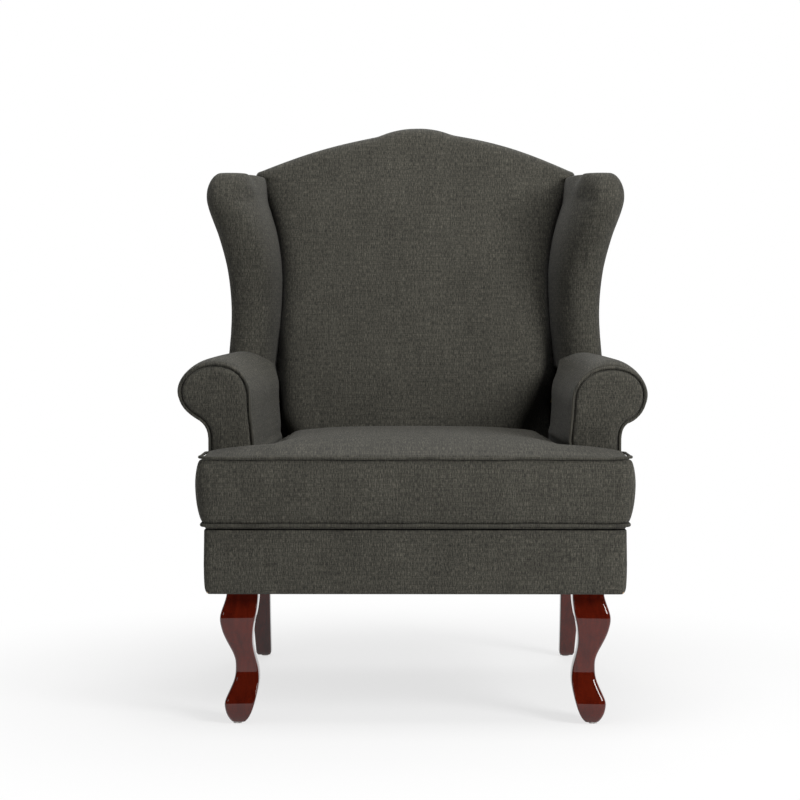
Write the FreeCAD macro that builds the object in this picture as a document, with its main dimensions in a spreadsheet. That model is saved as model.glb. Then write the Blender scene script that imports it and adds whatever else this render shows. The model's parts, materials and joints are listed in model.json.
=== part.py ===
"""Wingback armchair: hardwood frame, stuffed covers, loose T-shaped seat cushion and cabriole front legs.

Millimetres. The chair faces -Y, +X is the right-hand side seen from the front, +Z is up, and the floor is
z = 0. The origin is on the floor under the middle of the chair's overall box. Right-hand pieces are
modelled and the left-hand ones are their mirror images.
"""

import FreeCAD, Part
import os

import Sketcher

Vector = FreeCAD.Vector

SIZES = {
    # Plan of the seat
    "half_width": 348.0,  # outer face of the seat covers at the front
    "seat_front": 393.0,  # front face of the rail cover, ahead of the origin
    "arm_front": 272.0,  # front plane of the arm facings, ahead of the origin
    "toe_in": 0.05,  # how far a side closes in for each millimetre back from the arm facing
    # Seat rails
    "cover_low": 222.0,  # lower edge of the covers
    "rail_low": 224.0,
    "rail_high": 318.0,
    "rail_wood": 27.0,
    "cover": 5.0,  # padding and fabric over a rail
    "panel": 4.0,  # fabric-covered board that closes a side
    "corner_round": 10.0,
    "tack_wood": 20.0,
    # Deck, springs and dust cover
    "deck_thick": 11.7,
    "seat_gap": 0.6,  # between the loose cushion and what it lies on
    "wire": 3.5,
    "spring_pitch": 40.0,
    "spring_width": 52.0,
    "spring_spacing": 104.0,
    "clip_thick": 6.0,
    "clip_width": 24.0,
    "clip_high": 9.0,
    "dust_thick": 1.5,
    # Back
    "back_foot": 290.0,  # rear face of the back at the lower edge of the covers
    "back_slope": 0.1408,  # how far the back leans for each millimetre up
    "back_set": 34.5,  # how much narrower than the front of the seat the back is, on each side
    "back_panel": 5.0,
    "post_deep": 40.0,
    "post_set": 0.5,
    "post_wide": 38.0,
    "lower_rail_low": 342.0,
    "lower_rail_high": 402.0,
    "crest_high": 1039.0,
    "crest_deep": 139.0,  # from the top of the crest to the underside of the crest rail
    "crest_hump": 16.0,  # drop from the top of the crest to where its flanks start
    "crest_shoulder_x": 72.0,
    "crest_fall": 85.0,  # drop from the top of the crest to its ends
    "crest_end_set": 10.5,
    "crest_cover": 9.0,
    "strap_thick": 1.5,
    "strap_wide": 50.0,
    "strap_lap": 15.0,
    "strap_end": 12.0,
    "strap_spacing": 118.0,
    "level_strap_share": 0.257,  # spacing as a share of the height from the arm rails to the crest rail
    # Inside back pad
    "back_pad_low": 335.0,
    "pad_low_set": 121.5,  # how much narrower than the back the pad is, on each side
    "pad_low_thick": 163.9,  # ahead of the rear face of the back
    "pad_seat_z": 457.0,
    "pad_seat_set": 109.5,
    "pad_seat_thick": 171.1,
    "pad_belly_z": 560.0,
    "pad_belly_thick": 161.6,
    "pad_corner_z": 566.0,
    "pad_corner_set": 67.5,
    "pad_corner_swell": 10.0,
    "pad_mid_z": 700.0,
    "pad_mid_thick": 133.3,
    "pad_top_drop": 33.0,
    "pad_top_thick": 78.4,
    "pad_top_swell": 4.5,
    "wing_gap": 3.0,
    # Arms
    "arm_top_z": 590.0,
    "arm_foot_in": 78.0,  # inner face at the deck, inside the seat covers
    "arm_in": 70.5,  # inner face where the roll springs from it
    "arm_top_in": 10.0,
    "arm_out": 50.0,  # how far the roll stands outside the seat covers
    "arm_under_out": 27.0,
    "arm_neck_out": 4.0,
    "arm_spring_under": 61.0,  # below the top of the roll
    "arm_outer_under": 46.0,
    "arm_under_under": 88.0,
    "arm_neck_under": 109.0,
    "arm_neck_turn": 14.0,  # where the side starts to turn out to the neck
    "panel_notch": 13.0,
    "arm_swell": 10.8,  # how far the stuffed roll stands outside its facing
    "arm_wood": 44.0,
    "arm_rail_under": 110.0,  # upper face of the arm rail below the top of the roll
    "arm_rail_wood": 28.0,
    "arm_post_deep": 44.0,
    "arm_tack_low": 345.0,
    "arm_tack_high": 375.0,
    "facing_thick": 8.0,
    "facing_low": 331.0,
    "scroll_board": 18.0,
    "scroll_inset": 5.7,
    "facing_proud": 3.0,  # how far a facing stands ahead of its welt
    "welt": 3.0,  # half the thickness of the welt cord
    # Wings
    "wing_stand": 4.5,  # how far the wings stand outside the back
    "wing_under": 11.0,  # tops of the wings below the ends of the crest
    "wing_board": 16.0,
    "wing_board_in": 15.0,
    "wing_board_set": 40.0,  # the board starts this far behind the front of the stuffing
    "wing_board_under": 21.0,  # below the tops of the wings
    "wing_panel_set": 52.0,
    "fit": 0.3,
    "wing_rear_gap": 0.8,
    "roll_fit": 0.5,
    # Seat cushion
    "cushion_low": 330.3,
    "cushion_high": 438.0,
    "cushion_front": 405.0,
    "cushion_over": 15.0,  # how far the ears bulge outside the seat covers
    "cushion_ear": 1.6,  # gap between the ears and the arm facings
    "cushion_side": 3.8,  # clearance to the arms
    "cushion_rear": 140.0,
    "cushion_edge": 12.0,
    "cushion_corner": 28.0,
    "cushion_nook": 8.0,  # round of the inner corner of each ear
    "crown_rise": 27.0,
    "crown_reach_across": 290.0,
    "crown_reach_along": 380.0,
    "crown_y": -10.0,
    "cushion_welt": 2.8,  # half the thickness of the welt cord
    # Front legs
    "leg_set": 31.0,  # from the covers to the outer faces of the leg
    "leg_square": 52.5,
    "knee_z": 178.0,
    "knee_out": 8.4,
    "knee_in": 6.5,
    "shin_z": 128.0,
    "shin_out": 12.0,  # hollow of the outer face between knee and ankle
    "shin_in": 4.5,
    "ankle_z": 81.0,
    "ankle_out": 18.6,
    "ankle_in": 1.5,
    "heel_z": 56.0,
    "heel_out": 9.5,
    "heel_in": 0.5,
    "toe_z": 32.0,
    "toe_out": 1.0,
    "toe_in_x": 8.7,
    "toe_round_z": 13.0,
    "toe_round_out": 3.0,
    "toe_round_in": 15.0,
    "foot_out": 10.6,
    "foot_in": 23.0,
    "leg_arris": 6.0,
    # Rear legs
    "rear_leg_out": 2.0,  # outside the back
    "rear_leg_wide": 38.0,
    "rear_foot_in": 1.5,
    "rear_foot_wide": 34.0,
    "rear_leg_bulge": 4.0,
    "rear_leg_rake": 68.0,
    "rear_foot_deep": 34.0,
    "rear_leg_sweep": 10.0,
    # Fixings
    "glide_thick": 3.0,
    "glide_radius": 7.0,
    "glide_pin": 1.6,
    "glide_pin_long": 14.0,
    "bolt_radius": 4.0,
    "bolt_long": 70.0,
    "bolt_fit": 0.2,
    "plate_thick": 2.5,
    "plate_edge": 2.0,
    "block_high": 60.0,
    "block_leg": 58.0,
}

# Level sections of a wing, from the arm rail to the top: share of the wing's height, how far the middle of
# the front roll stands outside the rear edge, front of the roll, half thickness of the roll, and how far
# inside the rear edge the wing meets the back pad.
WING_LEVELS = {
    "foot": (0.0, 0.0, 96.0, 37.0, 50.0),
    "arm": (0.1944, 0.0, 96.0, 37.0, 51.0),
    "bend": (0.3456, -7.0, 121.0, 37.0, 58.0),
    "waist": (0.4752, -8.0, 130.0, 37.0, 62.0),
    "rise": (0.6048, -2.0, 117.0, 37.0, 61.0),
    "flare": (0.7343, 14.0, 88.0, 37.0, 52.0),
    "cheek": (0.8423, 32.0, 67.0, 37.0, 39.0),
    "brow": (0.9179, 40.0, 66.0, 36.0, 29.0),
    "round": (0.9719, 36.0, 90.0, 30.0, 26.0),
    "tip": (1.0, 28.0, 140.0, 20.0, 25.0),
}
WING_VALUES = ("share", "out", "front", "half", "in")

REACH = 1200.0  # longer than any piece, for profiles that cut right through

doc = FreeCAD.newDocument("wingback_armchair")
size = doc.addObject("Spreadsheet::Sheet", "size")


def fill_sheet():
    """Puts every driving dimension in the sheet as a plain number with an alias."""
    rows = dict(SIZES)
    for level, values in WING_LEVELS.items():
        for name, value in zip(WING_VALUES, values):
            rows[f"wing_{level}_{name}"] = value
    for row, (alias, value) in enumerate(rows.items(), start=1):
        size.set(f"A{row}", alias)
        size.set(f"B{row}", str(value))
        size.setAlias(f"B{row}", alias)
    doc.recompute()


fill_sheet()


def value(formula):
    """The number that a formula on the sheet stands for."""
    return float(size.evalExpression(str(formula)))


def bind(thing, prop, formula):
    """Ties one property to a formula on the sheet."""
    thing.setExpression(prop, str(formula))


# Sketches

FRONT_VIEW = FreeCAD.Rotation(Vector(1, 0, 0), 90)
SIDE_VIEW = FreeCAD.Rotation(Vector(1, 1, 1), 120)
PLAN_VIEW = FreeCAD.Rotation()
TURNS = {"XZ": FRONT_VIEW, "YZ": SIDE_VIEW, "XY": PLAN_VIEW}


def draw(sketch, corners):
    """Draws a closed outline. A corner is (across, up), or (across, up, via across, via up) when an arc
    through the via point arrives at it. Every number is a formula that drives a constraint."""
    spots = []
    for corner in corners:
        spots.append(Vector(value(corner[0]), value(corner[1]), 0))
    edges = []
    for index, corner in enumerate(corners):
        begin = spots[index - 1]
        end = spots[index]
        if len(corner) == 2:
            edge = sketch.addGeometry(Part.LineSegment(begin, end), False)
            edges.append((edge, 1, 2, None))
            continue
        via = Vector(value(corner[2]), value(corner[3]), 0)
        backwards = (via - begin).cross(end - via).z < 0
        first, last = (end, begin) if backwards else (begin, end)
        edge = sketch.addGeometry(Part.Arc(first, via, last), False)
        guide = sketch.addGeometry(Part.Point(via), True)
        edges.append((edge, 2 if backwards else 1, 1 if backwards else 2, guide))
    rules = []
    formulas = []
    for index, (edge, _, end, guide) in enumerate(edges):
        following = edges[(index + 1) % len(edges)]
        corner = corners[index]
        rules.append(Sketcher.Constraint("Coincident", edge, end, following[0], following[1]))
        formulas.append(None)
        held = [(edge, end, corner[0], corner[1])]
        if guide is not None:
            rules.append(Sketcher.Constraint("PointOnObject", guide, 1, edge))
            formulas.append(None)
            held.append((guide, 1, corner[2], corner[3]))
        for thing, point, across, up in held:
            rules.append(Sketcher.Constraint("DistanceX", -1, 1, thing, point, value(across)))
            formulas.append(across)
            rules.append(Sketcher.Constraint("DistanceY", -1, 1, thing, point, value(up)))
            formulas.append(up)
    first = sketch.ConstraintCount
    sketch.addConstraint(rules)
    for index, formula in enumerate(formulas):
        if formula is not None:
            bind(sketch, f"Constraints[{first + index}]", formula)


def free_sketch(plane, offset, outlines):
    """A sketch on a plane square to an axis, offset along that axis by a formula."""
    sketch = doc.addObject("Sketcher::SketchObject", "outline")
    axis = {"XZ": "y", "YZ": "x", "XY": "z"}[plane]
    sketch.Placement = FreeCAD.Placement(Vector(), TURNS[plane])
    bind(sketch, f"Placement.Base.{axis}", offset)
    for outline in outlines:
        draw(sketch, outline)
    return sketch


# Solids

PIECES = {}


def keep(thing, label):
    """Records a finished piece under the name of its file."""
    thing.Label = label
    PIECES[label] = thing
    return thing


def padded(label, plane, corners, start, length):
    """A body with one sketch on an origin plane, offset along the plane's normal, and one pad."""
    body = doc.addObject("PartDesign::Body", label)
    sketch = body.newObject("Sketcher::SketchObject", f"{label}_outline")
    origin = [item for item in body.Origin.OriginFeatures if item.Role == f"{plane}_Plane"][0]
    sketch.AttachmentSupport = [(origin, "")]
    sketch.MapMode = "FlatFace"
    bind(sketch, "AttachmentOffset.Base.z", start)
    draw(sketch, corners)
    feature = body.newObject("PartDesign::Pad", f"{label}_pad")
    feature.Profile = sketch
    bind(feature, "Length", length)
    return body


def prism(plane, offset, outlines, length, both_ways=False, direction=None):
    """Free outlines extruded along a direction."""
    block = doc.addObject("Part::Extrusion", "block")
    block.Base = free_sketch(plane, offset, outlines)
    block.Solid = True
    block.DirMode = "Custom"
    straight = {"XZ": Vector(0, 1, 0), "YZ": Vector(1, 0, 0), "XY": Vector(0, 0, 1)}[plane]
    block.Dir = direction or straight
    block.Symmetric = both_ways
    bind(block, "LengthFwd", length)
    return block


def cut(base, *tools):
    """The base less each tool in turn."""
    result = base
    for tool in tools:
        feature = doc.addObject("Part::Cut", "cut")
        feature.Base = result
        feature.Tool = tool
        result = feature
    return result


def common(first, second):
    """What two solids share."""
    feature = doc.addObject("Part::Common", "common")
    feature.Base = first
    feature.Tool = second
    return feature


def gathered(*things):
    """Separate solids that share one file."""
    feature = doc.addObject("Part::Compound", "group")
    feature.Links = list(things)
    return feature


def sawn(first_plane, first, second_plane, second):
    """A piece sawn to two outlines, each cutting right through along its own axis."""
    one = prism(first_plane, 0, first, 2 * REACH, both_ways=True)
    other = prism(second_plane, 0, second, 2 * REACH, both_ways=True)
    return common(one, other)


def offset_prism(offset, outline, grow, length, direction):
    """A front outline grown or shrunk evenly, then extruded back."""
    ring = doc.addObject("Part::Offset2D", "offset")
    ring.Source = free_sketch("XZ", offset, [outline])
    bind(ring, "Value", grow)
    block = doc.addObject("Part::Extrusion", "block")
    block.Base = ring
    block.Solid = True
    block.DirMode = "Custom"
    block.Dir = direction
    bind(block, "LengthFwd", length)
    return block


def mirrored(thing):
    """The mirror image across the middle plane of the chair."""
    feature = doc.addObject("Part::Mirroring", "mirror")
    feature.Source = thing
    feature.Base = Vector(0, 0, 0)
    feature.Normal = Vector(1, 0, 0)
    return feature


def both_sides(thing, label):
    """Keeps a right-hand piece and its left-hand mirror image."""
    keep(thing, f"{label}_right")
    keep(mirrored(thing), f"{label}_left")


def cylinder(x, y, z, radius, height):
    """An upright cylinder placed by formulas."""
    feature = doc.addObject("Part::Cylinder", "cylinder")
    bind(feature, "Radius", radius)
    bind(feature, "Height", height)
    bind(feature, "Placement.Base.x", x)
    bind(feature, "Placement.Base.y", y)
    bind(feature, "Placement.Base.z", z)
    return feature


# Lines that several pieces share


def side_x(y, inset=0):
    """Outer face of a side behind the arm facing, less an inset."""
    return f"(size.half_width - size.toe_in * (({y}) + size.arm_front) - ({inset}))"


def back_y(z, inset=0):
    """Rear face of the leaning back at a height, less an inset."""
    return f"(size.back_foot + (({z}) - size.cover_low) * size.back_slope - ({inset}))"


def with_mirror(right):
    """A whole outline from its right-hand half, which runs from the middle line round to it again."""
    left = []
    for index in reversed(range(len(right))):
        across, up = right[index][:2]
        spot = (f"-({across})", up)
        if index + 1 < len(right) and len(right[index + 1]) == 4:
            via_across, via_up = right[index + 1][2:]
            spot += (f"-({via_across})", via_up)
        left.append(spot)
    return right + left


def rectangle(left, low, right, high):
    return [(left, low), (right, low), (right, high), (left, high)]


def leaning_strip(low, high, near, far):
    """Side outline of something that lies in the leaning back between two insets and two heights."""
    return [
        (back_y(low, far), low),
        (back_y(low, near), low),
        (back_y(high, near), high),
        (back_y(high, far), high),
    ]


BACK_HALF = "(size.half_width - size.back_set)"
POST_OUTER = f"({BACK_HALF} - size.post_set)"
POST_NEAR = "size.back_panel"
POST_FAR = "(size.back_panel + size.post_deep)"
STRAPS_FAR = f"({POST_FAR} + 2 * size.strap_thick)"


def side_plan(front, rear, near, far):
    """Plan outline of something that runs along a side, straight ahead of the arm facing."""
    return [
        (f"size.half_width - ({near})", front),
        (f"size.half_width - ({near})", "-size.arm_front"),
        (side_x(rear, near), rear),
        (side_x(rear, far), rear),
        (f"size.half_width - ({far})", "-size.arm_front"),
        (f"size.half_width - ({far})", front),
    ]


def arm_plan(front, rear, near, far):
    """Plan outline of something that runs along an arm behind its facing."""
    return [
        (side_x(front, near), front),
        (side_x(rear, near), rear),
        (side_x(rear, far), rear),
        (side_x(front, far), front),
    ]


# Places that follow from the sizes on the sheet

CREST_LOW = "(size.crest_high - size.crest_deep)"
CREST_SHOULDER = "(size.crest_high - size.crest_hump)"
CREST_END = "(size.crest_high - size.crest_fall)"
CREST_END_X = f"({BACK_HALF} - size.crest_end_set)"
PAD_TOP_Z = "(size.crest_high - size.pad_top_drop)"
ARM_RAIL_HIGH = "(size.arm_top_z - size.arm_rail_under)"
ARM_RAIL_LOW = f"({ARM_RAIL_HIGH} - size.arm_rail_wood)"
ARM_INNER_LOW = "(size.half_width - size.arm_foot_in)"
ARM_INNER_HIGH = "(size.half_width - size.arm_in)"
ARM_SPRING_Z = "(size.arm_top_z - size.arm_spring_under)"
ARM_TOP_X = "(size.half_width - size.arm_top_in)"
ARM_OUTER = "(size.half_width + size.arm_out)"
ARM_OUTER_Z = "(size.arm_top_z - size.arm_outer_under)"
ARM_UNDER_X = "(size.half_width + size.arm_under_out)"
ARM_UNDER_Z = "(size.arm_top_z - size.arm_under_under)"
ARM_NECK_X = "(size.half_width + size.arm_neck_out)"
ARM_NECK_Z = "(size.arm_top_z - size.arm_neck_under)"
WING_TOP = f"({CREST_END} - size.wing_under)"
WING_REAR_X = f"({BACK_HALF} + size.wing_stand)"
WING_BOARD_REAR_X = f"({WING_REAR_X} - size.wing_board_in)"
WING_BOARD_TOP = f"({WING_TOP} - size.wing_board_under)"
REAR_LEG_OUTER = f"({BACK_HALF} + size.rear_leg_out)"
REAR_FOOT_OUTER = f"({REAR_LEG_OUTER} - size.rear_foot_in)"
CUSHION_HALF = "(size.half_width + size.cushion_over)"


def wing_height(level):
    return f"({ARM_RAIL_HIGH} + ({WING_TOP} - {ARM_RAIL_HIGH}) * size.wing_{level}_share)"


def wing_middle(level):
    """Middle of the front roll of a wing, out from the middle of the chair."""
    return f"({WING_REAR_X} + size.wing_{level}_out)"


def wing_inner(level):
    """Inner face of a wing where it meets the back pad."""
    return f"({WING_REAR_X} - size.wing_{level}_in)"


# Seat frame


def make_seat_rails():
    outer = "(size.half_width - size.cover)"
    front = "(size.seat_front - size.cover)"
    rail = rectangle(f"-{outer}", "size.rail_low", outer, "size.rail_high")
    keep(padded("front_seat_rail", "XZ", rail, f"({front} - size.rail_wood)", "size.rail_wood"), "front_seat_rail")

    inner_post = f"({POST_OUTER} - size.post_wide)"
    across = [rectangle(f"-{inner_post}", "size.rail_low", inner_post, "size.rail_high")]
    rear_far = "(size.back_panel + size.rail_wood)"
    leaning = [leaning_strip("size.rail_low", "size.rail_high", POST_NEAR, rear_far)]
    keep(sawn("XZ", across, "YZ", leaning), "rear_seat_rail")

    far = "(size.cover + size.rail_wood)"
    plan = [side_plan(f"-{front} + size.rail_wood", "size.back_foot", "size.cover", far)]
    side = [[
        (f"-{front}", "size.rail_low"),
        (back_y("size.rail_low", POST_FAR), "size.rail_low"),
        (back_y("size.rail_high", POST_FAR), "size.rail_high"),
        (f"-{front}", "size.rail_high"),
    ]]
    both_sides(sawn("XY", plan, "YZ", side), "side_seat_rail")


LEG_OUTER_X = "(size.half_width - size.leg_set)"
LEG_OUTER_Y = "(size.seat_front - size.leg_set)"
BLOCK_X = "(size.half_width - size.cover - size.rail_wood)"
BLOCK_Y = "(size.seat_front - size.cover - size.rail_wood)"
FRONT_BOLT_X = f"({LEG_OUTER_X} - size.leg_square / 2)"
FRONT_BOLT_Y = f"(-{LEG_OUTER_Y} + size.leg_square / 2)"


def make_corner_blocks():
    low = "(size.rail_low + size.plate_thick)"
    outline = [
        (BLOCK_X, f"-{BLOCK_Y}"),
        (BLOCK_X, f"-{BLOCK_Y} + size.block_leg"),
        (f"{BLOCK_X} - size.block_leg / 2", f"-{BLOCK_Y} + size.block_leg"),
        (f"{BLOCK_X} - size.block_leg", f"-{BLOCK_Y} + size.block_leg / 2"),
        (f"{BLOCK_X} - size.block_leg", f"-{BLOCK_Y}"),
    ]
    block = padded("front_corner_block", "XY", outline, low, "size.block_high")
    hole = cylinder(FRONT_BOLT_X, FRONT_BOLT_Y, 0, "size.bolt_radius + size.bolt_fit", "size.rail_high")
    both_sides(cut(block, hole), "front_corner_block")

    rear = f"({back_y('size.rail_low', POST_FAR)})"
    far = "(size.cover + size.rail_wood)"
    ahead = f"({rear} - size.block_leg)"
    outline = [
        (side_x(rear, far), rear),
        (f"{side_x(rear, far)} - size.block_leg", rear),
        (side_x(ahead, far), ahead),
    ]
    block = padded("rear_corner_block", "XY", outline, low, "size.block_high")
    both_sides(block, "rear_corner_block")


# Legs


def cabriole_profile(origin, sign):
    """One face outline of a front leg. The outer side starts at the origin and the inner side lies
    inwards by the square; both swell at the knee, narrow to the ankle and turn out again at the toe."""

    def outer(offset):
        return f"{sign} * ({origin} + ({offset}))"

    def inner(offset):
        return f"{sign} * ({origin} - size.leg_square + ({offset}))"

    return [
        (outer(0), "size.rail_low"),
        (inner(0), "size.rail_low"),
        (inner("size.knee_in"), "size.knee_z"),
        (inner("-size.ankle_in"), "size.ankle_z", inner("size.shin_in"), "size.shin_z"),
        (inner("size.toe_in_x"), "size.toe_z", inner("size.heel_in"), "size.heel_z"),
        (inner("size.foot_in"), "size.glide_thick", inner("size.toe_round_in"), "size.toe_round_z"),
        (outer("-size.foot_out"), "size.glide_thick"),
        (outer("size.toe_out"), "size.toe_z", outer("-size.toe_round_out"), "size.toe_round_z"),
        (outer("-size.ankle_out"), "size.ankle_z", outer("-size.heel_out"), "size.heel_z"),
        (outer("size.knee_out"), "size.knee_z", outer("-size.shin_out"), "size.shin_z"),
    ]


def leg_arris_edges(shape):
    """The edges down the outer front corner of a front leg, from the knee to the toe."""
    middle_x = value(FRONT_BOLT_X)
    middle_y = value(FRONT_BOLT_Y)
    found = []
    for number, edge in enumerate(shape.Edges, start=1):
        centre = edge.BoundBox.Center
        upright = edge.BoundBox.ZLength > 10
        if upright and centre.x > middle_x and centre.y < middle_y:
            found.append(number)
    return found


FOOT_X = f"({LEG_OUTER_X} - (size.foot_out + size.leg_square - size.foot_in) / 2)"
FOOT_Y = f"(-{LEG_OUTER_Y} + (size.foot_out + size.leg_square - size.foot_in) / 2)"
REAR_FOOT_X = f"({REAR_FOOT_OUTER} - size.rear_foot_wide / 2)"
REAR_TOP_REAR = f"({back_y('size.cover_low', '(size.back_panel + size.fit)')})"
REAR_TOP_FRONT = f"({back_y('size.rail_low', POST_FAR)})"
REAR_FOOT_Y = f"({REAR_TOP_FRONT} + size.rear_leg_rake + size.rear_foot_deep / 2)"
REAR_BOLT_X = f"({REAR_LEG_OUTER} - size.rear_leg_wide / 2)"
REAR_BOLT_Y = f"(({REAR_TOP_FRONT} + {REAR_TOP_REAR}) / 2)"


def bolt_hole(x, y):
    return cylinder(x, y, "size.rail_low - size.bolt_long / 2", "size.bolt_radius + size.bolt_fit", "size.bolt_long")


def pin_hole(x, y):
    return cylinder(x, y, 0, "size.glide_pin + size.bolt_fit", "size.glide_pin_long + size.glide_thick")


def make_legs():
    front = cabriole_profile(LEG_OUTER_X, 1)
    side = cabriole_profile(LEG_OUTER_Y, -1)
    blank = sawn("XZ", [front], "YZ", [side])
    doc.recompute()
    rounded = doc.addObject("Part::Fillet", "rounded_leg")
    rounded.Base = blank
    arris = value("size.leg_arris")
    rounded.Edges = [(number, arris, arris) for number in leg_arris_edges(blank.Shape)]
    leg = cut(rounded, bolt_hole(FRONT_BOLT_X, FRONT_BOLT_Y), pin_hole(FOOT_X, FOOT_Y))
    both_sides(leg, "front_leg")

    inner_top = f"({REAR_LEG_OUTER} - size.rear_leg_wide)"
    inner_foot = f"({REAR_FOOT_OUTER} - size.rear_foot_wide)"
    middle = "(size.rail_low / 2)"
    across = [
        (inner_top, "size.rail_low"),
        (inner_foot, "size.glide_thick"),
        (REAR_FOOT_OUTER, "size.glide_thick"),
        (
            REAR_LEG_OUTER,
            "size.rail_low",
            f"({REAR_LEG_OUTER} + {REAR_FOOT_OUTER}) / 2 + size.rear_leg_bulge",
            middle,
        ),
    ]
    foot_front = f"({REAR_TOP_FRONT} + size.rear_leg_rake)"
    foot_rear = f"({foot_front} + size.rear_foot_deep)"
    deep = [
        (REAR_TOP_FRONT, "size.rail_low"),
        (foot_front, "size.glide_thick", f"({REAR_TOP_FRONT} + {foot_front}) / 2 - size.rear_leg_sweep", middle),
        (foot_rear, "size.glide_thick"),
        (REAR_TOP_REAR, "size.rail_low", f"({REAR_TOP_REAR} + {foot_rear}) / 2 - size.rear_leg_sweep", middle),
    ]
    leg = cut(
        sawn("XZ", [across], "YZ", [deep]),
        bolt_hole(REAR_BOLT_X, REAR_BOLT_Y),
        pin_hole(REAR_FOOT_X, REAR_FOOT_Y),
    )
    both_sides(leg, "rear_leg")


def make_fixings():
    glides = []
    bolts = []
    for x, y in ((FOOT_X, FOOT_Y), (REAR_FOOT_X, REAR_FOOT_Y)):
        pin_long = "size.glide_pin_long + size.glide_thick - 1"
        disc = cylinder(x, y, 0, "size.glide_radius", "size.glide_thick")
        pin = cylinder(x, y, 0, "size.glide_pin", pin_long)
        glide = doc.addObject("Part::Fuse", "glide")
        glide.Base = disc
        glide.Tool = pin
        glides += [glide, mirrored(glide)]
    for x, y in ((FRONT_BOLT_X, FRONT_BOLT_Y), (REAR_BOLT_X, REAR_BOLT_Y)):
        bolt = cylinder(x, y, "size.rail_low - size.bolt_long / 2", "size.bolt_radius", "size.bolt_long")
        bolts += [bolt, mirrored(bolt)]
    keep(gathered(*glides), "glides")
    keep(gathered(*bolts), "hanger_bolts")

    inset = "size.plate_edge"
    outline = rectangle(
        f"{LEG_OUTER_X} - size.leg_square + {inset}",
        f"-{LEG_OUTER_Y} + {inset}",
        f"{BLOCK_X} - {inset}",
        f"-{LEG_OUTER_Y} + size.leg_square - {inset}",
    )
    plate = padded("leg_plate", "XY", outline, "size.rail_low", "size.plate_thick")
    hole = cylinder(FRONT_BOLT_X, FRONT_BOLT_Y, 0, "size.bolt_radius + size.bolt_fit", "size.rail_high")
    drilled = cut(plate, hole)
    keep(gathered(drilled, mirrored(drilled)), "leg_plates")


# Back frame


def camel_outline(low, half, drop, side_low=None):
    """Front outline of a back piece: a rounded hump between two straight flanks and rounded shoulders."""
    end_x = f"({CREST_END_X} - ({drop}))"
    end_z = f"({CREST_END} - ({drop}))"
    top_z = f"(size.crest_high - ({drop}))"
    hump_z = f"({CREST_SHOULDER} - ({drop}))"
    start = side_low or f"({end_z} - size.corner_round)"
    bend_x = f"(({half}) - size.corner_round * 0.29)"
    bend_z = f"({end_z} - size.corner_round * 0.29)"
    return [
        (f"-({half})", low),
        (half, low),
        (half, start),
        (end_x, end_z, bend_x, bend_z),
        ("size.crest_shoulder_x", hump_z),
        ("-size.crest_shoulder_x", hump_z, 0, top_z),
        (f"-{end_x}", end_z),
        (f"-({half})", start, f"-{bend_x}", bend_z),
    ]


def make_back_frame():
    inner = f"({POST_OUTER} - size.post_wide)"
    strip = [leaning_strip("size.rail_low", CREST_LOW, POST_NEAR, POST_FAR)]
    across = [rectangle(inner, "size.rail_low", POST_OUTER, CREST_LOW)]
    post = cut(sawn("XZ", across, "YZ", strip), bolt_hole(REAR_BOLT_X, REAR_BOLT_Y))
    both_sides(post, "back_post")

    across = [rectangle(f"-{inner}", "size.lower_rail_low", inner, "size.lower_rail_high")]
    strip = [leaning_strip("size.lower_rail_low", "size.lower_rail_high", POST_NEAR, POST_FAR)]
    keep(sawn("XZ", across, "YZ", strip), "lower_back_rail")

    half = f"({CREST_END_X} + 1)"
    crest = [camel_outline(CREST_LOW, half, "size.crest_cover")]
    strip = [leaning_strip(CREST_LOW, "size.crest_high", POST_NEAR, POST_FAR)]
    keep(sawn("XZ", crest, "YZ", strip), "crest_rail")


def make_back_webbing():
    """Four upright straps on the frame and four level ones over them."""
    upright = []
    level = []
    for step in (-1.5, -0.5, 0.5, 1.5):
        middle = f"({step} * size.strap_spacing)"
        upright.append(rectangle(
            f"{middle} - size.strap_wide / 2",
            "size.lower_rail_low + size.strap_lap",
            f"{middle} + size.strap_wide / 2",
            f"{CREST_LOW} + 2 * size.strap_lap",
        ))
        spacing = f"(({CREST_LOW} - {ARM_RAIL_HIGH}) * size.level_strap_share)"
        height = f"(({ARM_RAIL_HIGH} + {CREST_LOW}) / 2 + {step} * {spacing})"
        level.append(rectangle(
            f"-{POST_OUTER} + size.strap_end",
            f"{height} - size.strap_wide / 2",
            f"{POST_OUTER} - size.strap_end",
            f"{height} + size.strap_wide / 2",
        ))
    first_far = f"({POST_FAR} + size.strap_thick)"
    first = sawn("XZ", upright, "YZ", [leaning_strip("size.rail_low", "size.crest_high", POST_FAR, first_far)])
    second = sawn("XZ", level, "YZ", [leaning_strip("size.rail_low", "size.crest_high", first_far, STRAPS_FAR)])
    keep(gathered(first, second), "back_webbing")


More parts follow.
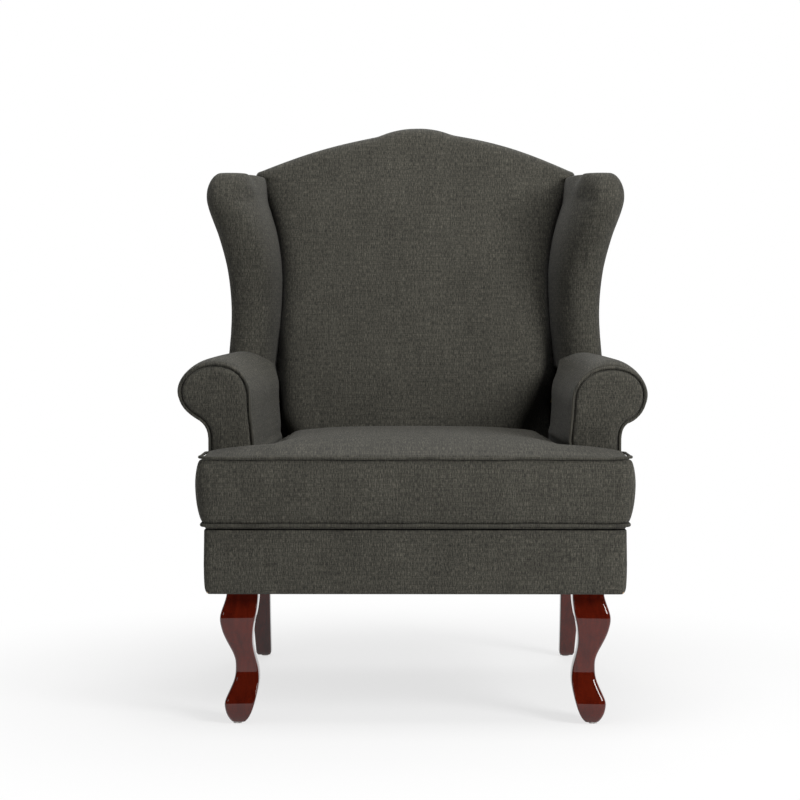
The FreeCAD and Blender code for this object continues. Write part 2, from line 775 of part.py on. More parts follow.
def make_back_covers():
    panel = [camel_outline("size.cover_low", BACK_HALF, 0)]
    strip = [leaning_strip("size.cover_low", "size.crest_high", 0, "size.back_panel")]
    keep(sawn("XZ", panel, "YZ", strip), "outside_back_panel")

    gap = "size.wing_gap"
    right = [
        (f"{BACK_HALF} - size.pad_low_set", "size.back_pad_low"),
        (f"{BACK_HALF} - size.pad_seat_set", "size.pad_seat_z"),
        (
            f"{BACK_HALF} - size.pad_corner_set",
            "size.pad_corner_z",
            f"{BACK_HALF} - (size.pad_seat_set + size.pad_corner_set) / 2 + size.pad_corner_swell",
            "(size.pad_seat_z + size.pad_corner_z) / 2",
        ),
    ]
    for level in ("bend", "waist", "rise", "flare", "cheek", "brow", "round"):
        right.append((f"{wing_inner(level)} - {gap}", wing_height(level)))
    over_wing = f"({WING_TOP} + {gap} / 2)"
    right.append((f"{wing_inner('round')} - {gap}", over_wing))
    right.append((BACK_HALF, over_wing))
    right.append((
        CREST_END_X,
        CREST_END,
        f"{BACK_HALF} - 2",
        f"({CREST_END} + {over_wing}) / 2 + 2",
    ))
    right.append(("size.crest_shoulder_x", CREST_SHOULDER))
    top_rear = back_y("size.crest_high", "size.back_panel")
    top_y = back_y(PAD_TOP_Z, "size.pad_top_thick")
    side = [
        (back_y("size.back_pad_low", "size.back_panel"), "size.back_pad_low"),
        (top_rear, "size.crest_high"),
        (back_y("size.crest_high", POST_FAR), "size.crest_high"),
        (
            top_y,
            PAD_TOP_Z,
            f"({top_y} + {back_y('size.crest_high', POST_FAR)}) / 2 - size.pad_top_swell",
            f"({PAD_TOP_Z} + size.crest_high) / 2 + size.pad_top_swell",
        ),
        (back_y("size.pad_mid_z", "size.pad_mid_thick"), "size.pad_mid_z"),
        (
            back_y("size.pad_seat_z", "size.pad_seat_thick"),
            "size.pad_seat_z",
            back_y("size.pad_belly_z", "size.pad_belly_thick"),
            "size.pad_belly_z",
        ),
        (back_y("size.back_pad_low", "size.pad_low_thick"), "size.back_pad_low"),
    ]
    outline = with_mirror(right)
    hump = len(right)
    outline[hump] += (0, "size.crest_high")
    blank = sawn("XZ", [outline], "YZ", [side])
    room_top = camel_outline("size.rail_low", f"({BACK_HALF} + size.corner_round)", "size.crest_cover")
    room_side = [leaning_strip("size.rail_low", "size.crest_high", f"({POST_NEAR} / 2)", STRAPS_FAR)]
    room = sawn("XZ", [room_top], "YZ", room_side)
    keep(cut(blank, room), "inside_back_pad")


# Arms


def arm_outline(grow, low):
    """Front outline of the right arm, grown outwards round the roll."""
    return [
        (ARM_NECK_X, ARM_NECK_Z),
        (
            ARM_UNDER_X,
            f"{ARM_UNDER_Z} - ({grow}) * 0.7",
            f"({ARM_NECK_X} + {ARM_UNDER_X}) / 2 - 3",
            f"({ARM_NECK_Z} + {ARM_UNDER_Z} - ({grow}) * 0.7) / 2 + 4",
        ),
        (
            f"{ARM_OUTER} + ({grow})",
            ARM_OUTER_Z,
            f"{ARM_OUTER} - 5 + ({grow}) * 0.9",
            f"({ARM_UNDER_Z} + {ARM_OUTER_Z}) / 2 - ({grow}) * 0.3",
        ),
        (
            ARM_TOP_X,
            f"size.arm_top_z + ({grow})",
            f"({ARM_TOP_X} + {ARM_OUTER}) / 2 + 13.5 + ({grow}) * 0.7",
            f"(size.arm_top_z + {ARM_OUTER_Z}) / 2 + 12 + ({grow}) * 0.7",
        ),
        (
            f"{ARM_INNER_HIGH} - ({grow}) * 0.2",
            ARM_SPRING_Z,
            f"({ARM_INNER_HIGH} + {ARM_TOP_X}) / 2 - 12 - ({grow}) * 0.5",
            f"({ARM_SPRING_Z} + size.arm_top_z) / 2 + 14 + ({grow}) * 0.7",
        ),
        (ARM_INNER_LOW, low),
    ]


def shifted_to_board(outline):
    """An arm outline moved inwards by the toe-in between the facing and the back of the scroll board."""
    shift = f"(size.toe_in * ({BOARD_BACK} + size.arm_front))"
    moved = []
    for corner in outline:
        spot = [f"({corner[0]}) - {shift}"] + list(corner[1:])
        if len(corner) == 4:
            spot[2] = f"({corner[2]}) - {shift}"
        moved.append(tuple(spot))
    return moved


def arm_prism(outline, front, rear):
    """A right-arm outline carried back between two planes, closing in with the side of the chair."""
    toe = value("size.toe_in")
    length = f"(({rear}) - ({front})) * sqrt(1 + size.toe_in ^ 2)"
    return prism("XZ", front, [outline], length, direction=Vector(-toe, 1, 0))


WOOD_OUTER = "size.panel"
WOOD_INNER = "(size.panel + size.arm_wood)"
FACING_BACK = "(-size.arm_front + size.facing_thick)"
BOARD_BACK = f"({FACING_BACK} + size.scroll_board)"


def make_arm_frame():
    outline = arm_plan(BOARD_BACK, f"{BOARD_BACK} + size.arm_post_deep", WOOD_OUTER, WOOD_INNER)
    height = f"{ARM_RAIL_LOW} - size.rail_high"
    both_sides(padded("arm_post", "XY", outline, "size.rail_high", height), "arm_post")

    rails = {
        "arm_top_rail": (WOOD_INNER, ARM_RAIL_LOW, ARM_RAIL_HIGH, BOARD_BACK),
        "arm_tack_rail": (
            "(size.panel + size.tack_wood)",
            "size.arm_tack_low",
            "size.arm_tack_high",
            f"({BOARD_BACK} + size.arm_post_deep)",
        ),
    }
    for label, (far, low, high, front) in rails.items():
        plan = [arm_plan("-size.arm_front", "size.back_foot", WOOD_OUTER, far)]
        side = [[
            (front, low),
            (back_y(low, POST_FAR), low),
            (back_y(high, POST_FAR), high),
            (front, high),
        ]]
        both_sides(sawn("XY", plan, "YZ", side), label)

    outline = facing_outline("size.rail_high - size.scroll_inset")
    board = offset_prism(FACING_BACK, outline, "-size.scroll_inset", "size.scroll_board", Vector(0, 1, 0))
    both_sides(board, "arm_scroll_board")


def facing_outline(low):
    """The closed outline of an arm front, which the welt follows."""
    return arm_outline(0, low) + [
        ("size.half_width", low),
        ("size.half_width", f"{ARM_NECK_Z} - size.arm_neck_turn"),
    ]


def make_arm_covers():
    outline = facing_outline("size.facing_low")
    ahead = Vector(0, 1, 0)
    front = "(-size.arm_front - size.facing_proud)"
    inset = "(-size.welt - size.fit)"
    depth = "(size.facing_thick + size.facing_proud)"
    both_sides(offset_prism(front, outline, inset, depth, ahead), "arm_facing")

    welt_deep = "(2 * size.welt)"
    outer = offset_prism("-size.arm_front", outline, "size.welt", welt_deep, ahead)
    inner = offset_prism("-size.arm_front", outline, "-size.welt", welt_deep, ahead)
    low_half = [rectangle(0, 0, REACH, "size.facing_low + size.welt")]
    below = prism("XZ", "-size.arm_front - size.welt", low_half, "4 * size.welt")
    both_sides(cut(outer, inner, below), "arm_facing_welt")

    pad = arm_outline("size.arm_swell", "size.rail_high + 1")
    pad.append((f"size.half_width - {WOOD_INNER}", "size.rail_high + 1"))
    pad.append((f"size.half_width - {WOOD_INNER}", ARM_RAIL_HIGH))
    pad.append(("size.half_width - size.panel", ARM_RAIL_HIGH))
    moved = shifted_to_board(pad)
    roll = arm_prism(moved, BOARD_BACK, back_y("size.arm_top_z", 0))
    low = "size.rail_high"
    high = "(size.arm_top_z + 2 * size.arm_swell)"
    rear = f"({STRAPS_FAR} + size.fit)"
    ahead_of_post = prism("YZ", 0, [[
        ("-size.arm_front", low),
        (back_y(low, rear), low),
        (back_y(high, rear), high),
        ("-size.arm_front", high),
    ]], 2 * REACH, both_ways=True)
    both_sides(cut(common(roll, ahead_of_post), wing_slot()), "arm_pad")

    plan = [arm_plan(FACING_BACK, back_y(ARM_RAIL_HIGH), 0, "size.panel")]
    side = [[
        (FACING_BACK, "size.cover_low"),
        (back_y("size.cover_low"), "size.cover_low"),
        (back_y(ARM_RAIL_HIGH), ARM_RAIL_HIGH),
        (BOARD_BACK, ARM_RAIL_HIGH),
        (BOARD_BACK, f"{ARM_NECK_Z} - size.panel_notch"),
        (FACING_BACK, f"{ARM_NECK_Z} - size.panel_notch"),
    ]]
    both_sides(sawn("XY", plan, "YZ", side), "outside_arm_panel")


# Wings


def wing_rear(level):
    return back_y(wing_height(level), f"({STRAPS_FAR} + size.wing_rear_gap)")


def loft(sections):
    """A smooth solid through level outlines, each (height, outline)."""
    feature = doc.addObject("Part::Loft", "loft")
    feature.Sections = [free_sketch("XY", height, [outline]) for height, outline in sections]
    feature.Solid = True
    feature.Ruled = False
    return feature


def wing_form():
    """The whole stuffed wing: a round front roll, a flat outer face and an inner face that runs back
    beside the back pad."""
    sections = []
    for level in list(WING_LEVELS)[1:]:
        middle = wing_middle(level)
        front = f"size.wing_{level}_front"
        half = f"size.wing_{level}_half"
        inner = wing_inner(level)
        rear = wing_rear(level)
        outline = [
            (WING_REAR_X, rear),
            (f"{middle} + {half}", f"{front} + {half}"),
            (f"{middle} - {half}", f"{front} + {half}", middle, front),
            (inner, f"({front} + {half} + {rear}) / 2"),
            (inner, rear),
        ]
        sections.append((wing_height(level), outline))
    return loft(sections)


def wing_sheet(levels, near, far, front_set, top, spare_rear="0"):
    """A board that lies in the wing between two distances outside its middle."""
    sections = []
    for level in levels:
        middle = wing_middle(level)
        front = f"(size.wing_{level}_front + ({front_set}))"
        rear = f"({wing_rear(level)} + ({spare_rear}))"
        outline = [
            (f"{WING_BOARD_REAR_X} + ({far})", rear),
            (f"{middle} + ({far})", front),
            (f"{middle} + ({near})", front),
            (f"{WING_BOARD_REAR_X} + ({near})", rear),
        ]
        sections.append((wing_height(level), outline))
    last = sections[-1][1]
    sections.append((top, last))
    return loft(sections)


BOARD_LEVELS = ("foot", "arm", "bend", "waist", "rise", "flare", "cheek", "brow")


def wing_slot():
    """The room for a wing board in the stuffing round it."""
    half = "(size.wing_board / 2 + size.fit)"
    front = "(size.wing_board_set - size.fit)"
    return wing_sheet(BOARD_LEVELS, f"-{half}", half, front, f"{WING_BOARD_TOP} + size.fit", "1")


def roll_room():
    """The stuffed arm roll with a little clearance, for what stands on it."""
    outline = arm_outline("(size.arm_swell + size.roll_fit)", ARM_RAIL_HIGH)
    outline = shifted_to_board(outline)
    return arm_prism(outline, BOARD_BACK, back_y("size.crest_high"))


def make_wings():
    half = "(size.wing_board / 2)"
    board = wing_sheet(BOARD_LEVELS, f"-{half}", half, "size.wing_board_set", WING_BOARD_TOP)
    lift = prism("XY", 0, [rectangle(0, 0, REACH, REACH)], ARM_RAIL_HIGH)
    both_sides(cut(board, lift), "wing_board")

    room = roll_room()
    pad = cut(wing_form(), wing_slot(), room, wing_panel("2 * size.fit", "20"), post_strip("size.fit"))
    both_sides(pad, "wing_pad")
    covered = doc.addObject("Part::Fuse", "covered_side")
    covered.Base = cut(wing_panel("0", "0"), room)
    covered.Tool = cut(post_strip("0"), arm_end())
    both_sides(covered, "outside_wing_panel")


def post_strip(spare):
    """The fabric over the outer side of a back post, or the room for it."""
    across = [rectangle(
        f"{WING_REAR_X} - size.panel - {spare}",
        ARM_RAIL_HIGH,
        WING_REAR_X,
        f"{WING_BOARD_TOP} + {spare}",
    )]
    rear_edge = f"({STRAPS_FAR} + size.wing_rear_gap + 1 + {spare})"
    return sawn("XZ", across, "YZ", [leaning_strip(ARM_RAIL_HIGH, "size.crest_high", 0, rear_edge)])


def arm_end():
    """Room round the rear end of the arm stuffing, from its rear face forwards."""
    across = [rectangle(0, ARM_RAIL_LOW, REACH, "size.arm_top_z + size.arm_swell + size.roll_fit * 4")]
    return sawn("XZ", across, "YZ", [leaning_strip(ARM_RAIL_LOW, CREST_END, STRAPS_FAR, f"({STRAPS_FAR} * 2)")])


def wing_panel(spare, spare_outside):
    """The covered board on the outer face of a wing, or the room for it."""
    sections = []
    for level in BOARD_LEVELS[1:]:
        middle = wing_middle(level)
        half = f"size.wing_{level}_half"
        front = f"(size.wing_{level}_front + size.wing_panel_set)"
        rear = wing_rear(level)
        slope = f"(({middle} + {half} - {WING_REAR_X}) / ({rear} - size.wing_{level}_front - {half}))"
        at_front = f"({middle} + {half} - (size.wing_panel_set - {half}) * {slope})"
        outline = [
            (f"{WING_REAR_X} + ({spare_outside})", f"{rear} + ({spare}) * 3"),
            (f"{at_front} + ({spare_outside})", f"{front} - ({spare})"),
            (f"{at_front} - size.panel - ({spare})", f"{front} - ({spare})"),
            (f"{WING_REAR_X} - size.panel - ({spare})", f"{rear} + ({spare}) * 3"),
        ]
        sections.append((wing_height(level), outline))
    sections.append((f"{WING_BOARD_TOP} + ({spare})", sections[-1][1]))
    return loft(sections)


# Seat


def make_rail_cover():
    """The fabric border round the front of the seat, wrapped back to the arm facings."""
    half = "size.half_width"
    front = "size.seat_front"
    inner = f"({half} - size.cover)"
    bend = "size.corner_round"
    outline = [
        (half, "-size.arm_front"),
        (inner, "-size.arm_front"),
        (inner, f"-{front} + size.cover"),
        (f"-{inner}", f"-{front} + size.cover"),
        (f"-{inner}", "-size.arm_front"),
        (f"-{half}", "-size.arm_front"),
        (f"-{half}", f"-{front} + {bend}"),
        (f"-{half} + {bend}", f"-{front}", f"-{half} + {bend} * 0.293", f"-{front} + {bend} * 0.293"),
        (f"{half} - {bend}", f"-{front}"),
        (half, f"-{front} + {bend}", f"{half} - {bend} * 0.293", f"-{front} + {bend} * 0.293"),
    ]
    height = "size.rail_high + size.deck_thick - 1 - size.cover_low"
    keep(padded("rail_cover", "XY", outline, "size.cover_low", height), "rail_cover")


def make_deck():
    half = "(size.half_width - size.cover)"
    front = "(-size.seat_front + size.cover)"
    step = "(-size.arm_front - size.facing_proud - size.fit)"
    side = f"({ARM_INNER_LOW} - size.fit)"
    rear = f"({back_y('size.rail_high', POST_FAR)})"
    rear_half = f"({side} - size.toe_in * ({rear} + size.arm_front))"
    outline = [
        (half, front),
        (half, step),
        (side, step),
        (rear_half, rear),
    ]
    keep(padded("seat_deck", "XY", with_mirror(outline), "size.rail_high", "size.deck_thick"), "seat_deck")

    low = "(size.rail_low - size.dust_thick)"
    notch_x = f"({LEG_OUTER_X} - size.leg_square - 1)"
    notch_y = f"(-{LEG_OUTER_Y} + size.leg_square + 1)"
    wide = "(size.half_width - size.cover - 1)"
    ahead = "(-size.seat_front + size.cover + 1)"
    rear_x = f"({REAR_LEG_OUTER} - size.rear_leg_wide - 1)"
    rear_y = f"({REAR_TOP_FRONT} - 1)"
    side_front = "(size.half_width - size.panel - 2)"
    side_rear = side_x(rear_y, "size.panel + 2")
    right = [
        (notch_x, ahead),
        (notch_x, notch_y),
        (wide, notch_y),
        (side_front, "-size.arm_front"),
        (side_rear, rear_y),
        (rear_x, rear_y),
        (rear_x, f"{REAR_TOP_REAR} - 1"),
    ]
    keep(padded("dust_cover", "XY", with_mirror(right), low, "size.dust_thick"), "dust_cover")


SPRING_Z = "(size.rail_high - size.fit - size.wire)"
SPRING_FRONT = "(-size.seat_front + size.cover + size.rail_wood + size.clip_thick)"
SPRING_REAR = f"({back_y('size.rail_high - size.clip_high', '(size.back_panel + size.rail_wood)')} - size.clip_thick)"


def spring_outline(middle, front, rear, width, pitch, wire):
    """The middle line of a flat zigzag wire: level runs across, joined by bends alternately left and right."""
    runs = int((rear - front - wire) // pitch)
    step = (rear - front - wire) / runs
    reach = width / 2 - step / 4
    points = [Vector(middle - reach, front + wire / 2, 0)]
    side = 1
    for run in range(runs):
        y = front + wire / 2 + run * step
        points.append(Vector(middle + side * reach, y, 0))
        points.append(Vector(middle + side * width / 2, y + step / 4, 0))
        points.append(Vector(middle + side * width / 2, y + step * 3 / 4, 0))
        points.append(Vector(middle + side * reach, y + step, 0))
        side = -side
    points.append(Vector(middle + side * reach, rear - wire / 2, 0))
    return points


def strip_face(points, half):
    """A flat strip of even width along a chain of points, with mitred corners."""
    near = []
    far = []
    for index, point in enumerate(points):
        before = points[max(index - 1, 0)]
        after = points[min(index + 1, len(points) - 1)]
        arriving = (point - before) if index else (after - point)
        leaving = (after - point) if index + 1 < len(points) else (point - before)
        across = Vector(-arriving.y, arriving.x, 0).normalize() + Vector(-leaving.y, leaving.x, 0).normalize()
        mitre = across * (2 * half / across.Length ** 2)
        near.append(point + mitre)
        far.append(point - mitre)
    ring = near + far[::-1]
    return Part.Face(Part.makePolygon(ring + ring[:1]))


def make_springs():
    wire = value("size.wire")
    front = value(SPRING_FRONT)
    rear = value(SPRING_REAR)
    low = value(SPRING_Z)
    springs = []
    clips = []
    for step in (-2, -1, 0, 1, 2):
        middle = step * value("size.spring_spacing")
        centre = spring_outline(middle, front, rear, value("size.spring_width"), value("size.spring_pitch"), wire)
        strip = strip_face(centre, wire / 2)
        strip.translate(Vector(0, 0, low))
        springs.append(strip.extrude(Vector(0, 0, wire)))
        for sketch_front, depth in (
            (f"({SPRING_FRONT} - size.clip_thick)", "size.clip_thick"),
            (SPRING_REAR, "size.clip_thick"),
        ):
            clip = doc.addObject("Part::Box", "clip")
            bind(clip, "Length", "size.clip_width")
            bind(clip, "Width", depth)
            bind(clip, "Height", "size.clip_high")
            bind(clip, "Placement.Base.x", f"{step} * size.spring_spacing - size.clip_width / 2")
            bind(clip, "Placement.Base.y", sketch_front)
            bind(clip, "Placement.Base.z", "size.rail_high - size.fit - size.clip_high")
            clips.append(clip)
    feature = doc.addObject("Part::Feature", "seat_springs")
    feature.Shape = Part.makeCompound(springs)
    keep(feature, "seat_springs")
    keep(gathered(*clips), "spring_clips")


def cushion_outline(inset):
    """Plan of the T-shaped cushion: ears ahead of the arms and a body that narrows between them."""
    half = f"({CUSHION_HALF} - ({inset}))"
    front = f"(-size.cushion_front + ({inset}))"
    ear = f"(-size.arm_front - size.facing_proud - size.cushion_ear - ({inset}))"
    neck = f"({ARM_INNER_LOW} - size.cushion_side - ({inset}))"
    rear = f"(size.cushion_rear - ({inset}))"
    rear_half = f"({neck} - size.toe_in * ({rear} + size.arm_front))"
    return half, front, ear, neck, rear, rear_half


def cushion_corners(inset):
    """The corners of the plan, with the outer ones rounded."""
    half, front, ear, neck, rear, rear_half = cushion_outline(inset)
    bend = f"(size.cushion_corner - ({inset}))"
    tuck = f"({bend} * 0.293)"
    nook = f"(size.cushion_nook + ({inset}))"
    nook_tuck = f"({nook} * 0.293)"
    return with_mirror([
        (f"{half} - {bend}", front),
        (half, f"{front} + {bend}", f"{half} - {tuck}", f"{front} + {tuck}"),
        (half, f"{ear} - {bend}"),
        (f"{half} - {bend}", ear, f"{half} - {tuck}", f"{ear} - {tuck}"),
        (f"{neck} + {nook}", ear),
        (neck, f"{ear} + {nook}", f"{neck} + {nook_tuck}", f"{ear} + {nook_tuck}"),
        (f"{rear_half} + {bend} * size.toe_in", f"{rear} - {bend}"),
        (f"{rear_half} - {bend}", rear, f"{rear_half} - {tuck}", f"{rear} - {tuck}"),
    ])


def crown_roller(way):
    """A long cylinder whose side rounds the crown off over its reach one way."""
    radius = f"((size.crown_reach_{way} ^ 2 + size.crown_rise ^ 2) / (2 * size.crown_rise))"
    roller = doc.addObject("Part::Cylinder", "crown_roller")
    bind(roller, "Radius", radius)
    bind(roller, "Height", 2 * REACH)
    bind(roller, "Placement.Base.z", f"size.cushion_high + size.crown_rise - {radius}")
    return roller


def make_cushion():
    """The stuffed T: straight boxing, bevelled edges that seat the welts, and a low crown on top."""
    body = padded(
        "cushion_box",
        "XY",
        cushion_corners("0"),
        "size.cushion_low",
        "size.cushion_high - size.cushion_low",
    )
    doc.recompute()
    box = body.Tip
    rims = []
    for number, edge in enumerate(box.Shape.Edges, start=1):
        if edge.BoundBox.ZLength < 0.01:
            rims.append(f"Edge{number}")
    bevel = body.newObject("PartDesign::Chamfer", "cushion_bevel")
    bevel.Base = (box, rims)
    bind(bevel, "Size", "size.cushion_edge")

    inset = "(size.cushion_edge + 1)"
    crown = prism("XY", "size.cushion_high - 1", [cushion_corners(inset)], "size.crown_rise + 4")
    along = crown_roller("along")
    along.Placement.Rotation = FreeCAD.Rotation(Vector(0, 1, 0), 90)
    bind(along, "Placement.Base.x", -REACH)
    bind(along, "Placement.Base.y", "size.crown_y")
    over = crown_roller("across")
    over.Placement.Rotation = FreeCAD.Rotation(Vector(1, 0, 0), 90)
    bind(over, "Placement.Base.y", REACH)
    dome = common(common(crown, along), over)
    cushion = doc.addObject("Part::Fuse", "cushion")
    cushion.Base = body
    cushion.Tool = dome
    keep(cushion, "seat_cushion")

    offset = "(size.cushion_edge / 2 - size.cushion_welt - size.fit / 3)"
    ring = [
        cushion_corners(f"({offset} - size.cushion_welt)"),
        cushion_corners(f"({offset} + size.cushion_welt)"),
    ]
    for label, middle in (
        ("cushion_bottom_welt", f"size.cushion_low + {offset}"),
        ("cushion_top_welt", f"size.cushion_high - {offset}"),
    ):
        keep(prism("XY", f"{middle} - size.cushion_welt", ring, "2 * size.cushion_welt"), label)


def write_parts():
    """Checks every object, then writes each piece's solids to its own file."""
    failed = [item.Name for item in doc.Objects if "Invalid" in item.State or "Error" in item.State]
    if failed:
        raise RuntimeError(f"failed to build: {failed}")
    for label, piece in PIECES.items():
        if piece.Shape.isNull() or not piece.Shape.Solids:
            raise RuntimeError(f"{label} has no solid")
        if not piece.Shape.isValid():
            raise RuntimeError(f"{label} is not valid")
    os.makedirs("parts", exist_ok=True)
    for label, piece in PIECES.items():
        piece.Shape.exportStep(f"parts/{label}.step")
        print(label, len(piece.Shape.Solids), round(piece.Shape.Volume))


make_seat_rails()
make_corner_blocks()
make_legs()
make_fixings()
make_back_frame()
make_back_webbing()
make_back_covers()
make_arm_frame()
make_arm_covers()
make_wings()
make_rail_cover()
make_deck()
make_springs()
make_cushion()
doc.recompute()
write_parts()
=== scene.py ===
import json
import math

import bmesh
import bpy
import numpy as np
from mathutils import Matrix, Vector


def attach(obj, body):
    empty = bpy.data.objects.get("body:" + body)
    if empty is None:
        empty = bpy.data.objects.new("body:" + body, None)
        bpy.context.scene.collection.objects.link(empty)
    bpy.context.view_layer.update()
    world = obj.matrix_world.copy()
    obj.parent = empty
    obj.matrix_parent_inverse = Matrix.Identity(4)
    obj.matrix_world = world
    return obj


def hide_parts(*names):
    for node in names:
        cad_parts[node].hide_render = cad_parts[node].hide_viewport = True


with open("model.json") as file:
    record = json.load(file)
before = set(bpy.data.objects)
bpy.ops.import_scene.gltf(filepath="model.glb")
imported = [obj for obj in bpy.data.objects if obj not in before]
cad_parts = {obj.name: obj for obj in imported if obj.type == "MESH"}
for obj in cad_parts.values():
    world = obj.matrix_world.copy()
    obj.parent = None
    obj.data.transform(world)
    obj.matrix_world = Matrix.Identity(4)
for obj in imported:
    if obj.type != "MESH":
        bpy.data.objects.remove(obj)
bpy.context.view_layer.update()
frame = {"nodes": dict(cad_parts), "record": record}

MM = 0.001
SIDES = (("right", 1), ("left", -1))
FRAME_BODY = "frame"
CUSHION_BODY = "loose_cushion"


def along(table, key, column):
    """A smooth reading of one column of a table of rows that rise in their first column."""
    keys = [row[0] for row in table]
    values = [row[column] for row in table]
    last = len(keys) - 1
    key = min(max(key, keys[0]), keys[last])
    index = next((i for i in range(last) if key <= keys[i + 1]), last - 1)

    def slope(i):
        if i in (0, last):
            a, b = (0, 1) if i == 0 else (last - 1, last)
        else:
            a, b = i - 1, i + 1
        return (values[b] - values[a]) / (keys[b] - keys[a])

    span = keys[index + 1] - keys[index]
    t = (key - keys[index]) / span
    a, b = values[index], values[index + 1]
    return (
        a * (2 * t**3 - 3 * t**2 + 1)
        + b * (3 * t**2 - 2 * t**3)
        + slope(index) * span * (t**3 - 2 * t**2 + t)
        + slope(index + 1) * span * (t**3 - t**2)
    )


def clamp(value, low=0.0, high=1.0):
    return min(max(value, low), high)


def smooth(value):
    """A soft step from 0 to 1."""
    value = clamp(value)
    return value * value * (3 - 2 * value)


def mix(a, b, t):
    return a + (b - a) * t


# Sizes in millimetres, as the solids have them

HALF_WIDTH = 348.0
SEAT_FRONT = 393.0
ARM_FRONT = 272.0
TOE_IN = 0.05
COVER_LOW = 222.0  # lower edge of the border and of the outside covers
BACK_FOOT = 290.0
BACK_SLOPE = 0.1408
BACK_HALF = 313.5
CREST_END_X = 303.0
CREST_END = 954.0
CREST_SHOULDER_X = 72.0
CREST_SHOULDER = 1023.0
CREST_HIGH = 1039.0
CREST_ROUND = 10.0
FLANK_SWELL = 7.0  # how far a stuffed flank of the crest rises over a straight line
RIGHT_SWELL = 4.5  # how much fuller the right flank is stuffed


def back_rear(z):
    """Rear face of the leaning back."""
    return BACK_FOOT + (z - COVER_LOW) * BACK_SLOPE


def side_x(y):
    """Outer face of a side of the seat."""
    return HALF_WIDTH - TOE_IN * max(y + ARM_FRONT, 0)


def crest_z(x):
    """Top of the camel-shaped back at a distance from the middle."""
    fuller = RIGHT_SWELL * math.sin(math.pi * clamp(x / CREST_END_X))
    x = abs(x)
    if x < CREST_SHOULDER_X:
        rise = CREST_HIGH - CREST_SHOULDER
        radius = (CREST_SHOULDER_X**2 + rise**2) / (2 * rise)
        return CREST_HIGH - radius + math.sqrt(radius**2 - x**2) + fuller
    if x < CREST_END_X:
        along_flank = (x - CREST_SHOULDER_X) / (CREST_END_X - CREST_SHOULDER_X)
        swell = FLANK_SWELL * math.sin(math.pi * along_flank)
        return mix(CREST_SHOULDER, CREST_END, along_flank) + swell + fuller
    over = clamp((x - CREST_END_X) / (BACK_HALF - CREST_END_X))
    return CREST_END - CREST_ROUND * (1 - math.sqrt(1 - over**2))


# Mesh helpers


def placed(name, data):
    """A new object in the scene."""
    thing = bpy.data.objects.new(name, data)
    bpy.context.scene.collection.objects.link(thing)
    return thing


def reworked(mesh, work):
    """Runs some work on a mesh's points and faces."""
    body = bmesh.new()
    body.from_mesh(mesh)
    work(body)
    body.to_mesh(mesh)
    body.free()


def shade_smooth(mesh):
    mesh.polygons.foreach_set("use_smooth", [True] * len(mesh.polygons))


def make_object(name, points, faces):
    """A mesh object from points in millimetres, with its doubles merged and its faces turned outwards."""
    mesh = bpy.data.meshes.new(name)
    mesh.from_pydata([Vector(point) * MM for point in points], [], faces)

    def work(body):
        bmesh.ops.remove_doubles(body, verts=body.verts, dist=0.00002)
        bmesh.ops.dissolve_degenerate(body, edges=body.edges, dist=0.00001)
        bmesh.ops.recalc_face_normals(body, faces=body.faces)

    reworked(mesh, work)
    shade_smooth(mesh)
    return placed(name, mesh)


def ring_faces(rings, count, closed=True):
    """Faces between neighbouring rings of equal count."""
    faces = []
    for ring in range(rings - 1):
        for step in range(count if closed else count - 1):
            after = (step + 1) % count
            faces.append((
                ring * count + step,
                ring * count + after,
                (ring + 1) * count + after,
                (ring + 1) * count + step,
            ))
    return faces


def tube_of_rings(name, rings):
    """A closed skin over a list of rings, with flat ends."""
    count = len(rings[0])
    points = [point for ring in rings for point in ring]
    faces = ring_faces(len(rings), count)
    for ring in (rings[0], rings[-1]):
        start = len(points)
        middle = sum((Vector(point) for point in ring), Vector()) / count
        base = 0 if ring is rings[0] else (len(rings) - 1) * count
        points.append(middle)
        faces += [(base + step, base + (step + 1) % count, start) for step in range(count)]
    return make_object(name, points, faces)


def slab(name, across, up, spots):
    """A closed pad. spots(u, v) gives its front and its back point at a share across and a share up."""
    pairs = [spots(column / across, row / up) for row in range(up + 1) for column in range(across + 1)]
    points = [front for front, _ in pairs] + [back for _, back in pairs]
    columns = across + 1
    shift = len(pairs)
    faces = []
    for row in range(up):
        for column in range(across):
            a = row * columns + column
            quad = (a, a + 1, a + columns + 1, a + columns)
            faces.append(quad)
            faces.append(tuple(shift + corner for corner in reversed(quad)))
    rim = list(range(columns))
    rim += [row * columns + across for row in range(1, up + 1)]
    rim += [up * columns + column for column in reversed(range(across))]
    rim += [row * columns for row in reversed(range(1, up))]
    for step, corner in enumerate(rim):
        after = rim[(step + 1) % len(rim)]
        faces.append((after, corner, corner + shift, after + shift))
    return make_object(name, points, faces)


def turn_over(thing):
    """Turns a right piece into a left one across the middle plane."""
    for vertex in thing.data.vertices:
        vertex.co.x = -vertex.co.x
    thing.data.flip_normals()


def mirrored(thing, name):
    """The mirror image across the middle plane, as a mesh of its own."""
    twin = placed(name, thing.data.copy())
    twin.data.name = name
    turn_over(twin)
    return twin


TOP_STRETCH = 0.3  # threads on upward faces, so that they stay readable at a low angle
SIDE_STRETCH = 0.6
UPWARD = 0.75


def weave_map(thing):
    """Lays the cloth's thread lines over a piece, in metres, by the way that each face looks."""
    mesh = thing.data
    layer = mesh.uv_layers.new(name="weave")
    for polygon in mesh.polygons:
        x, y, z = (abs(part) for part in polygon.normal)
        for loop in polygon.loop_indices:
            spot = mesh.vertices[mesh.loops[loop].vertex_index].co
            if z > UPWARD:
                layer.data[loop].uv = (spot.x, spot.y * TOP_STRETCH)
            elif y >= x:
                layer.data[loop].uv = (spot.x, spot.z)
            else:
                layer.data[loop].uv = (spot.y * SIDE_STRETCH, spot.z)


